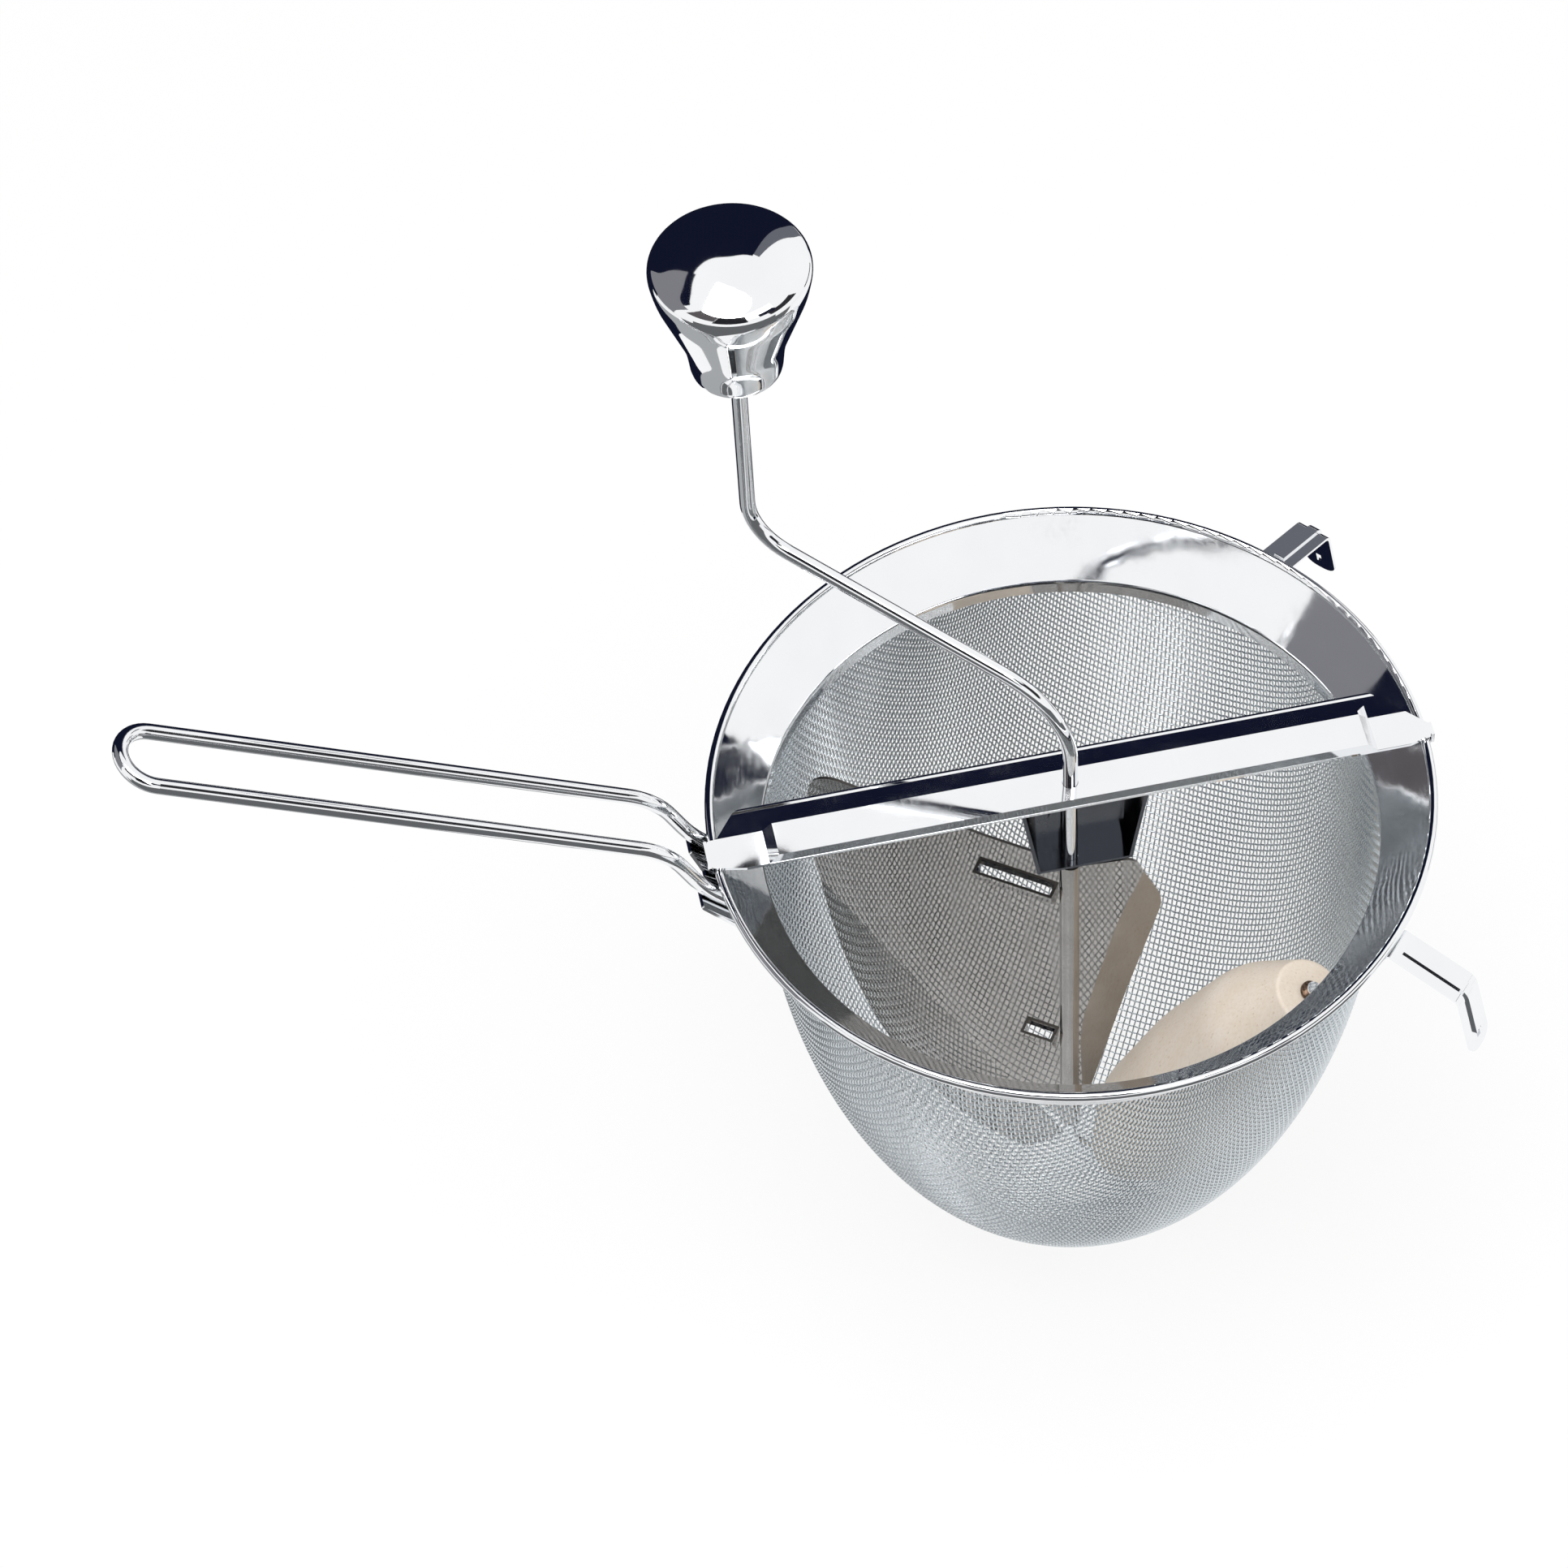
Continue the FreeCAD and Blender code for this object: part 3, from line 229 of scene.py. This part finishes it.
def chrome(name, light, shade, rough, haze, ripple):
    """Bright plating: cloudy haze, fine wiping marks and a faint ripple from the forming."""
    n = Nodes(name)
    cloud = n.noise(55.0, 4.0)
    wiped = n.noise(900.0, 5.0, n.coordinates((1.0, 0.12, 1.0), (0.3, 0.2, 0.9)))
    grain = n.noise(5200.0, 2.0)
    n.link(n.blend(cloud, shade, light), n.shader.inputs["Base Color"])
    scuffs = n.maths("MULTIPLY", n.span(cloud, 0.0, 1.0, 0.4, 0.75), wiped)
    n.link(n.span(scuffs, rough, rough + haze, 0.0, 0.6), n.shader.inputs["Roughness"])
    waves = n.bump(n.noise(120.0, 1.0), ripple)
    n.link(n.bump(grain, PLATING_GRAIN, 0.35, waves), n.shader.inputs["Normal"])
    n.shader.inputs["Metallic"].default_value = 1.0
    return n.material


def crowned(material, bands):
    """Leans the plating's normals toward the front over bands of Y, as rolling leaves them."""
    n = Nodes.of(material)
    place = n.add("ShaderNodeTexCoord")
    axes = n.add("ShaderNodeSeparateXYZ")
    n.link(place.outputs["Object"], axes.inputs[0])
    for start, end, lean in bands:
        ramp = n.span(axes.outputs["Y"], 0.0, 1.0, start, end)
        before = n.shader.inputs["Normal"].links[0].from_socket
        rise = math.tan(math.radians(lean)) * (end - start)
        n.link(n.bump(ramp, rise, 1.0, before), n.shader.inputs["Normal"])
    return material


def sheet_steel(name):
    """Rolled sheet, polished but not plated, with the mill's fine lines and dull cut edges."""
    n = Nodes(name)
    lines = n.noise(420.0, 6.0, n.coordinates((1.0, 1.0, 0.05)))
    cloud = n.noise(70.0, 4.0)
    specks = n.noise(1900.0, 3.0)
    tone = n.blend(cloud, STEEL_SHADE, STEEL_LIGHT)
    stain = n.span(specks, 0.0, 0.35, 0.62, 0.8)
    tone = n.blend(stain, tone, STEEL_STAIN)
    facing = n.add("ShaderNodeTexCoord")
    axes = n.add("ShaderNodeSeparateXYZ")
    n.link(facing.outputs["Normal"], axes.inputs[0])
    cut = n.span(axes.outputs["Z"], 0.0, 1.0, 0.55, 0.8)
    n.link(n.blend(cut, tone, STEEL_CUT), n.shader.inputs["Base Color"])
    polish = n.span(lines, 0.02, 0.06, 0.3, 0.7)
    n.link(n.maths("MAXIMUM", polish, n.span(cut, 0.0, 0.45)), n.shader.inputs["Roughness"])
    n.link(n.bump(lines, SHEET_LINES, 0.5), n.shader.inputs["Normal"])
    n.shader.inputs["Metallic"].default_value = 1.0
    return n.material


def woven_wire(name):
    """Drawn wire with cloudy brightness and small dull stretches."""
    n = Nodes(name)
    drawn = n.noise(2600.0, 3.0)
    cloud = n.noise(35.0, 4.0)
    tone = n.blend(cloud, WIRE_SHADE, WIRE_LIGHT)
    dull = n.span(drawn, 0.0, 0.3, 0.5, 0.8)
    n.link(n.blend(dull, tone, WIRE_DULL), n.shader.inputs["Base Color"])
    n.link(n.span(drawn, 0.14, 0.32, 0.3, 0.7), n.shader.inputs["Roughness"])
    n.shader.inputs["Metallic"].default_value = 1.0
    return n.material


def beech(name, axis):
    """Turned beech: grain along the roller, short flecks, pores and faint tool rings."""
    n = Nodes(name)
    turn = axis.rotation_difference(Vector((0.0, 0.0, 1.0))).to_euler()
    along = n.coordinates((1.0, 1.0, 0.055), turn)
    figure = n.noise(95.0, 5.0, along, 0.6)
    fibre = n.noise(1500.0, 4.0, along)
    flecks = n.add("ShaderNodeTexVoronoi", scale=620.0)
    n.link(n.coordinates((1.0, 1.0, 0.16), turn), flecks.inputs["Vector"])
    rings = n.add("ShaderNodeTexWave", bands_direction="Z", scale=170.0, distortion=1.5)
    n.link(n.coordinates((1.0, 1.0, 1.0), turn), rings.inputs["Vector"])
    tone = n.blend(n.span(figure, 0.0, 1.0, 0.3, 0.7), BEECH_LIGHT, BEECH_SHADE)
    tone = n.blend(n.span(fibre, 0.0, 0.45, 0.45, 0.8), tone, BEECH_FIBRE)
    dash = n.span(flecks.outputs["Distance"], 0.55, 0.0, 0.06, 0.2)
    n.link(n.blend(dash, tone, BEECH_FLECK), n.shader.inputs["Base Color"])
    n.link(n.span(fibre, 0.48, 0.66), n.shader.inputs["Roughness"])
    turned = n.bump(rings.outputs["Fac"], TOOL_RINGS, 0.3)
    n.link(n.bump(fibre, WOOD_FIBRE, 0.5, turned), n.shader.inputs["Normal"])
    return n.material


def dark_plastic(name):
    """Moulded black plastic with a fine texture."""
    n = Nodes(name)
    grain = n.noise(2400.0, 3.0)
    n.link(n.blend(n.noise(90.0), PLASTIC_SHADE, PLASTIC_LIGHT), n.shader.inputs["Base Color"])
    n.link(n.span(grain, 0.38, 0.55), n.shader.inputs["Roughness"])
    n.link(n.bump(grain, PLASTIC_GRAIN, 0.5), n.shader.inputs["Normal"])
    return n.material


def spring_steel(name, tone):
    """Small pressed parts: oiled steel with pits."""
    n = Nodes(name)
    pits = n.noise(1700.0, 4.0)
    dark = tuple(0.45 * part for part in tone)
    n.link(n.blend(n.span(pits, 0.0, 1.0, 0.4, 0.7), dark, tone), n.shader.inputs["Base Color"])
    n.link(n.span(pits, 0.22, 0.45, 0.3, 0.7), n.shader.inputs["Roughness"])
    n.link(n.bump(pits, STEEL_PITS, 0.5), n.shader.inputs["Normal"])
    n.shader.inputs["Metallic"].default_value = 1.0
    return n.material


def wear(names, material):
    """Gives these nodes the finish."""
    for name in names:
        for slot in nodes[name].material_slots:
            slot.material = material


plated_sheet = chrome("plated_sheet", PLATED, PLATED_SHADE, 0.03, 0.09, 0.00003)
plated_bridge = chrome("plated_bridge", PLATED, PLATED_SHADE, 0.03, 0.09, 0.00001)
# Plating painted near-black navy: painted shade and painted reflection under the bridge.
painted_shade_bracket = chrome("painted_shade_bracket", BRACKET_PAINTED_SHADE, BRACKET_PAINTED_DEEP_SHADE, 0.08, 0.2, 0.00003)
plated_wire = chrome("plated_wire", PLATED, PLATED_SHADE, 0.03, 0.10, 0.00001)
plated_knob = chrome("plated_knob", PLATED, PLATED_SHADE, 0.025, 0.05, 0.000003)
plated_ring = chrome("plated_ring", PLATED_SHADE, RING_SHADE, 0.1, 0.2, 0.00003)
roller_axis = Vector(next(j for j in frame["joints"] if j["name"] == "roller_spin")["axis"])

wear(["rim_band", "hook_front", "hook_back", "handle_plate"], plated_sheet)
wear(["bridge_bar"], crowned(plated_bridge, ROLLED))
wear(["guide_bracket"], painted_shade_bracket)
wear(["handle_loop", "crank_rod"], plated_wire)
wear(["knob_shell"], plated_knob)
wear(["mesh_clamp_ring"], plated_ring)
wear(["paddle_blade"], sheet_steel("paddle_steel"))
wear(["wooden_roller"], beech("turned_beech", roller_axis))
wear(["knob_bush"], dark_plastic("bush_plastic"))
wear(["knob_retainer", "roller_stop"], spring_steel("spring_steel", SPRING))
# The roller's end cap is coloured dark brown.
wear(["roller_end_cap"], spring_steel("dark_brown_steel", DARK_BROWN))

# ---------------------------------------------------------------- woven bowl

PITCH = 0.0018
WIRE_RADIUS = 0.00026
WAVE = 0.00021
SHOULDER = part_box("rim_band")[0].z
WEAVE_TURN = math.radians(-125.0)
SHEAR = 0.3
SIDES = 4
PROFILE_STEPS = 1200


def bowl_profile():
    """Arc length, radius and height from the pole to the top edge, midway through the weave."""
    low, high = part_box("mesh_bowl")
    inset = WIRE_RADIUS + WAVE
    across = high.x - inset
    depth = SHOULDER - low.z - inset
    turn = np.linspace(0.0, math.pi / 2, PROFILE_STEPS)
    radius = np.append(across * np.sin(turn), across)
    height = np.append(SHOULDER - depth * np.cos(turn), high.z)
    steps = np.hypot(np.diff(radius), np.diff(height))
    return np.append(0.0, np.cumsum(steps)), radius, height


def drawn_cloth(length, radius):
    """How far from its middle, in the flat cloth, the wire that ends up at each arc length lay."""
    root = np.sqrt(radius)
    steps = np.diff(length) * (root[1:] + root[:-1]) / 2
    return (1.5 * np.append(0.0, np.cumsum(steps))) ** (2 / 3)


LENGTH, RADIUS, HEIGHT = bowl_profile()
CLOTH = drawn_cloth(LENGTH, RADIUS)


def on_bowl(across, along, lift):
    """Points of the flat cloth on the bowl, lifted off its middle surface, and the normals there."""
    reach = np.hypot(across, along)
    angle = np.arctan2(along, across)
    angle = angle + SHEAR / 4 * (reach / CLOTH[-1]) ** 2 * np.sin(4 * angle) + WEAVE_TURN
    radius = np.interp(reach, CLOTH, RADIUS)
    height = np.interp(reach, CLOTH, HEIGHT)
    slope_out = np.interp(reach, CLOTH, np.gradient(RADIUS, LENGTH))
    slope_up = np.interp(reach, CLOTH, np.gradient(HEIGHT, LENGTH))
    outward = np.stack([slope_up * np.cos(angle), slope_up * np.sin(angle), -slope_out], 1)
    middle = np.stack([radius * np.cos(angle), radius * np.sin(angle), height], 1)
    return middle + outward * lift[:, None], outward


def wire_rings(line, family):
    """Rings of one wire, one at each crossing and one at either end, over and under in turn."""
    half = math.sqrt(CLOTH[-1] ** 2 - (line * PITCH) ** 2)
    last = int(half / PITCH)
    steps = np.arange(-last, last + 1)
    along = np.concatenate([[-half], steps * PITCH, [half]])
    lift = np.where((steps + line + family) % 2, WAVE, -WAVE)
    lift = np.concatenate([[0.0], lift, [0.0]])
    across = np.full(len(along), line * PITCH)
    pair = (along, across) if family else (across, along)
    middle, outward = on_bowl(*pair, lift)
    forward = np.gradient(middle, axis=0)
    forward /= np.linalg.norm(forward, axis=1)[:, None]
    aside = np.cross(forward, outward)
    aside /= np.linalg.norm(aside, axis=1)[:, None]
    upward = np.cross(aside, forward)
    turns = (np.arange(SIDES) + 0.5) * 2 * math.pi / SIDES
    sideways = np.cos(turns)[:, None] * aside[:, None, :]
    upright = np.sin(turns)[:, None] * upward[:, None, :]
    return middle[:, None, :] + WIRE_RADIUS * (sideways + upright)


def weave(name, lines, family, material):
    """One mesh of many wires."""
    points = []
    faces = []
    count = 0
    for line in lines:
        rings = wire_rings(line, family)
        start = count + np.arange(len(rings) - 1)[:, None] * SIDES
        side = np.arange(SIDES)[None, :]
        after = (side + 1) % SIDES
        quads = np.stack([start + side, start + after, start + after + SIDES, start + side + SIDES], 2)
        faces.append(quads.reshape(-1, 4))
        points.append(rings.reshape(-1, 3))
        count += len(rings) * SIDES
    mesh = bpy.data.meshes.new(name)
    mesh.from_pydata(np.concatenate(points).tolist(), [], np.concatenate(faces).tolist())
    mesh.polygons.foreach_set("use_smooth", [True] * len(mesh.polygons))
    mesh.materials.append(material)
    piece = bpy.data.objects.new(name, mesh)
    bpy.context.scene.collection.objects.link(piece)
    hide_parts("mesh_bowl")
    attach(piece, "bowl")


def make_weave():
    """Warp and weft, each in two halves."""
    material = woven_wire("woven_wire")
    last = int(CLOTH[-1] / PITCH)
    halves = {"left": range(-last, 0), "right": range(0, last + 1)}
    for family, word in enumerate(("warp", "weft")):
        for half, lines in halves.items():
            weave(f"mesh_{word}_{half}", lines, family, material)


make_weave()

# ---------------------------------------------------------------- spun knob

KNOB_FOOT = 0.0006
KNOB_WALL = 0.0014
KNOB_BORE = 0.0105
BUSH_TOP = 0.0118
KNOB_TURNS = 112
KNOB_STEP = 0.0006
KNOB_EASE = 0.0014
BUSH_CLEARANCE = 0.0015
ARC_STEPS = 24
EASE_PAD = 20
SHARP_ANGLE = math.radians(40.0)
AXIS_REACH = 0.0004

# Radius, height and the corner's rounding, from the foot up to the pole.
KNOB_OUTLINE = (
    (0.0119, 0.0, 0.0),
    (0.0128, 0.009, 0.030),
    (0.0197, 0.0295, 0.014),
    (0.0214, 0.0385, 0.0032),
    (0.0090, 0.045, 0.030),
    (0.0, 0.045, 0.0),
)


def rounded(corners):
    """A line through radius and height, with each corner rounded to its radius."""
    points = [np.array(corners[0][:2])]
    for before, corner, after in zip(corners, corners[1:], corners[2:]):
        middle = np.array(corner[:2])
        back = np.array(before[:2]) - middle
        ahead = np.array(after[:2]) - middle
        back /= np.linalg.norm(back)
        ahead /= np.linalg.norm(ahead)
        half = math.acos(float(back @ ahead)) / 2
        reach = corner[2] / math.tan(half)
        halfway = (back + ahead) / np.linalg.norm(back + ahead)
        centre = middle + halfway * corner[2] / math.sin(half)
        start = middle + back * reach - centre
        end = middle + ahead * reach - centre
        swing = math.pi - 2 * half
        for share in np.linspace(0.0, 1.0, ARC_STEPS):
            first = math.sin((1 - share) * swing) / math.sin(swing)
            second = math.sin(share * swing) / math.sin(swing)
            points.append(centre + start * first + end * second)
    points.append(np.array(corners[-1][:2]))
    return np.array(points)


def eased(line, step, spread):
    """The line in even steps up to the pole, its bends eased into each other as spinning leaves them."""
    length = np.append(0.0, np.cumsum(np.hypot(*np.diff(line, axis=0).T)))
    total = length[-1]
    count = int(total / step)
    even = total * np.arange(-EASE_PAD, count + EASE_PAD + 1) / count
    past = even > total
    folded = np.where(past, 2 * total - even, even)
    both = np.stack([np.interp(folded, length, line[:, 0]), np.interp(folded, length, line[:, 1])], 1)
    both[past, 0] *= -1.0
    before = even < 0
    both[before] = line[0] + (line[1] - line[0]) / length[1] * even[before, None]
    weight = np.exp(-((even[:, None] - even[None, :]) / spread) ** 2 / 2)
    weight /= weight.sum(1)[:, None]
    return (weight @ both)[EASE_PAD:-EASE_PAD]


def spin(name, outline, middle, turns):
    """A closed shell spun from an outline that starts and ends off the axis and touches it between."""
    angles = np.arange(turns) * 2 * math.pi / turns
    points = []
    rings = []
    for radius, height in outline:
        if radius == 0.0:
            rings.append([len(points)] * turns)
            points.append((middle.x, middle.y, middle.z + height))
            continue
        rings.append(list(range(len(points), len(points) + turns)))
        for angle in angles:
            x = middle.x + radius * math.cos(angle)
            y = middle.y + radius * math.sin(angle)
            points.append((x, y, middle.z + height))
    faces = []
    for first, second in zip(rings, rings[1:] + rings[:1]):
        for k in range(turns):
            after = (k + 1) % turns
            face = [first[k], first[after], second[after], second[k]]
            faces.append(tuple(dict.fromkeys(face)))
    mesh = bpy.data.meshes.new(name)
    mesh.from_pydata(points, [], [face for face in faces if len(face) > 2])
    mesh.polygons.foreach_set("use_smooth", [True] * len(mesh.polygons))
    mesh.set_sharp_from_angle(angle=SHARP_ANGLE)
    return mesh


def make_knob(material):
    """The knob's drawn shell, finer than its solid, whose reflections show every facet."""
    low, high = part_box("knob_shell")
    middle = Vector(((low.x + high.x) / 2, (low.y + high.y) / 2, low.z))
    outside = eased(rounded(KNOB_OUTLINE), KNOB_STEP, KNOB_EASE)
    outside[:, 0] *= (high.x - low.x) / 2 / outside[:, 0].max()
    outside[-1] = (0.0, high.z - low.z)
    along = np.gradient(outside, axis=0)
    along /= np.linalg.norm(along, axis=1)[:, None]
    inside = outside - KNOB_WALL * np.stack([along[:, 1], -along[:, 0]], 1)
    inside[-1, 0] = 0.0
    over_bush = inside[:, 1] > BUSH_TOP + BUSH_CLEARANCE
    off_axis = (inside[:, 0] > AXIS_REACH) | (inside[:, 0] == 0.0)
    inside = inside[over_bush & off_axis][::-2]
    if inside[0, 0] > 0.0:
        inside = np.concatenate([[(0.0, outside[-1, 1] - KNOB_WALL)], inside])
    foot = [(outside[0, 0] - KNOB_FOOT, 0.0), (outside[0, 0] - 0.2 * KNOB_FOOT, 0.3 * KNOB_FOOT)]
    outside = outside[outside[:, 1] > KNOB_FOOT]
    bore = [(KNOB_BORE, BUSH_TOP), (KNOB_BORE, 0.0)]
    outline = [*foot, *map(tuple, outside), *map(tuple, inside), *bore]
    mesh = spin("knob_spun", outline, middle, KNOB_TURNS)
    mesh.materials.append(material)
    piece = bpy.data.objects.new("knob_spun", mesh)
    bpy.context.scene.collection.objects.link(piece)
    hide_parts("knob_shell")
    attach(piece, "knob")


make_knob(plated_knob)

# ---------------------------------------------------------------- studio

FLOOR_SIZE = 8.0
FLOOR_GAP = 0.0005
FLOOR_GLOW = 0.85
FLOOR_COLOUR = (0.94, 0.94, 0.94, 1.0)
WHITE = (1.0, 1.0, 1.0, 1.0)
SKY_LIGHT = 0.62
SKY_SEEN = 1.0
CARD_STEPS = 24

# Name, place, what it faces, width and height, watts.
LAMPS = (
    ("key", (-0.3, -0.35, 1.9), (0.0, 0.0, 0.0), (1.0, 1.0), 20.0),
    ("fill", (0.5, -0.9, 1.6), (0.0, 0.0, -0.05), (1.0, 0.8), 7.0),
)

# The room that the plating mirrors: its walls' radius and foot, a table under the bowl, and the
# radii of what hangs overhead.
ROOM = 1.3
FOOT = -0.1
TABLE = cad_low.z + 0.001
NEAR = 1.0
NEARER = 0.8
NIGHT = (0.006, 0.008, 0.022, 1.0)
DUSK = (0.14, 0.145, 0.17, 1.0)
SMOKE = (0.22, 0.22, 0.24, 1.0)
PEWTER = (0.40, 0.41, 0.42, 1.0)
UMBER = (0.11, 0.10, 0.105, 1.0)
COAL = (0.02, 0.02, 0.024, 1.0)
SLATE = (0.03, 0.03, 0.034, 1.0)
FRONT = (0.13, 0.135, 0.14, 1.0)

# Name, first and last angle, radius and height of the lower and of the upper edge, tone.
CARDS = (
    ("card_back", (62.0, 135.0), (ROOM, FOOT), (ROOM, 2.0), NIGHT),
    ("card_back_edge", (54.0, 62.0), (ROOM, -0.05), (ROOM, 1.9), DUSK),
    ("card_table_near", (45.0, 112.0), (0.08, TABLE), (0.28, TABLE), NIGHT),
    ("card_table", (45.0, 150.0), (0.28, TABLE), (ROOM, FOOT), NIGHT),
    ("card_left", (135.0, 159.0), (ROOM, FOOT), (ROOM, 0.24), NIGHT),
    ("card_left_end", (159.0, 186.0), (ROOM, 0.06), (ROOM, 1.7), SMOKE),
    ("card_left_high", (135.0, 159.0), (ROOM, 0.24), (ROOM, 1.7), SMOKE),
    ("card_left_top", (135.0, 176.0), (ROOM, 1.7), (ROOM, 2.15), NIGHT),
    ("card_left_table", (150.0, 195.0), (0.15, TABLE), (0.7, TABLE), PEWTER),
    ("card_right", (4.0, 32.0), (ROOM, FOOT), (ROOM, 0.05), NIGHT),
    ("card_high", (-65.0, -36.0), (NEAR, 0.95), (NEARER, 1.25), NIGHT),
    ("card_high_left", (-168.0, -130.0), (NEAR, 0.9), (NEARER, 1.6), UMBER),
    ("card_camera", (-130.0, -84.0), (NEAR, 0.62), (0.7, 1.4), COAL),
    ("card_front_high", (-52.0, -8.0), (ROOM, 0.66), (ROOM, 1.4), SLATE),
    ("card_front_table", (-165.0, -25.0), (0.2, TABLE), (ROOM, FOOT), FRONT),
    ("card_front", (-150.0, -48.0), (ROOM, FOOT), (ROOM, 0.27), FRONT),
)


def make_floor():
    """A plain white floor, mostly lit by itself where it is seen, so that its shadows stay soft."""
    mesh = bpy.data.meshes.new("floor")
    half = FLOOR_SIZE / 2
    level = cad_low.z - FLOOR_GAP
    corners = [(-half, -half, level), (half, -half, level), (half, half, level), (-half, half, level)]
    mesh.from_pydata(corners, [], [(0, 1, 2, 3)])
    n = Nodes("floor_white")
    n.shader.inputs["Base Color"].default_value = FLOOR_COLOUR
    n.shader.inputs["Roughness"].default_value = 1.0
    n.shader.inputs["Specular IOR Level"].default_value = 0.0
    glow = n.add("ShaderNodeEmission")
    glow.inputs["Color"].default_value = WHITE
    path = n.add("ShaderNodeLightPath")
    seen = n.maths("MAXIMUM", path.outputs["Is Camera Ray"], path.outputs["Is Glossy Ray"])
    seen = n.maths("MAXIMUM", seen, path.outputs["Is Transmission Ray"])
    mix = n.add("ShaderNodeMixShader")
    n.link(n.maths("MULTIPLY", seen, FLOOR_GLOW), mix.inputs[0])
    n.link(n.shader.outputs[0], mix.inputs[1])
    n.link(glow.outputs[0], mix.inputs[2])
    n.link(mix.outputs[0], n.tree.nodes["Material Output"].inputs["Surface"])
    mesh.materials.append(n.material)
    floor = bpy.data.objects.new("floor", mesh)
    bpy.context.scene.collection.objects.link(floor)


def make_world():
    """An even white sky, a little weaker as a light than it looks."""
    world = bpy.data.worlds.new("studio")
    bpy.context.scene.world = world
    world.use_nodes = True
    tree = world.node_tree
    sky = tree.nodes["Background"]
    sky.inputs["Color"].default_value = WHITE
    path = tree.nodes.new("ShaderNodeLightPath")
    seen = tree.nodes.new("ShaderNodeMath")
    seen.operation = "MAXIMUM"
    tree.links.new(path.outputs["Is Camera Ray"], seen.inputs[0])
    tree.links.new(path.outputs["Is Glossy Ray"], seen.inputs[1])
    strength = tree.nodes.new("ShaderNodeMapRange")
    strength.inputs["To Min"].default_value = SKY_LIGHT
    strength.inputs["To Max"].default_value = SKY_SEEN
    tree.links.new(seen.outputs[0], strength.inputs["Value"])
    tree.links.new(strength.outputs["Result"], sky.inputs["Strength"])


def lamp(name, place, target, size, power):
    """A soft rectangular lamp."""
    data = bpy.data.lights.new(name, "AREA")
    data.shape = "RECTANGLE"
    data.size, data.size_y = size
    data.energy = power
    made = bpy.data.objects.new(name, data)
    made.location = place
    made.rotation_euler = (Vector(target) - Vector(place)).to_track_quat("-Z", "Y").to_euler()
    bpy.context.scene.collection.objects.link(made)


def card(name, angles, low, high, tone):
    """A curved card round the object that only reflections see, from one radius and height to another.

    The angles are degrees from +X."""
    turns = np.radians(np.linspace(*angles, CARD_STEPS + 1))
    points = []
    for radius, height in (low, high):
        points += [(radius * math.cos(turn), radius * math.sin(turn), height) for turn in turns]
    above = CARD_STEPS + 1
    faces = [(k, k + 1, k + 1 + above, k + above) for k in range(CARD_STEPS)]
    mesh = bpy.data.meshes.new(name)
    mesh.from_pydata(points, [], faces)
    n = Nodes(name)
    glow = n.add("ShaderNodeEmission")
    glow.inputs["Color"].default_value = tone
    n.link(glow.outputs[0], n.tree.nodes["Material Output"].inputs["Surface"])
    mesh.materials.append(n.material)
    made = bpy.data.objects.new(name, mesh)
    bpy.context.scene.collection.objects.link(made)
    made.visible_camera = False
    made.visible_diffuse = False
    made.visible_transmission = False
    made.visible_shadow = False


make_floor()
make_world()
for row in LAMPS:
    lamp(*row)
for row in CARDS:
    card(*row)

# ---------------------------------------------------------------- finish

bpy.context.scene.view_settings.view_transform = "Standard"
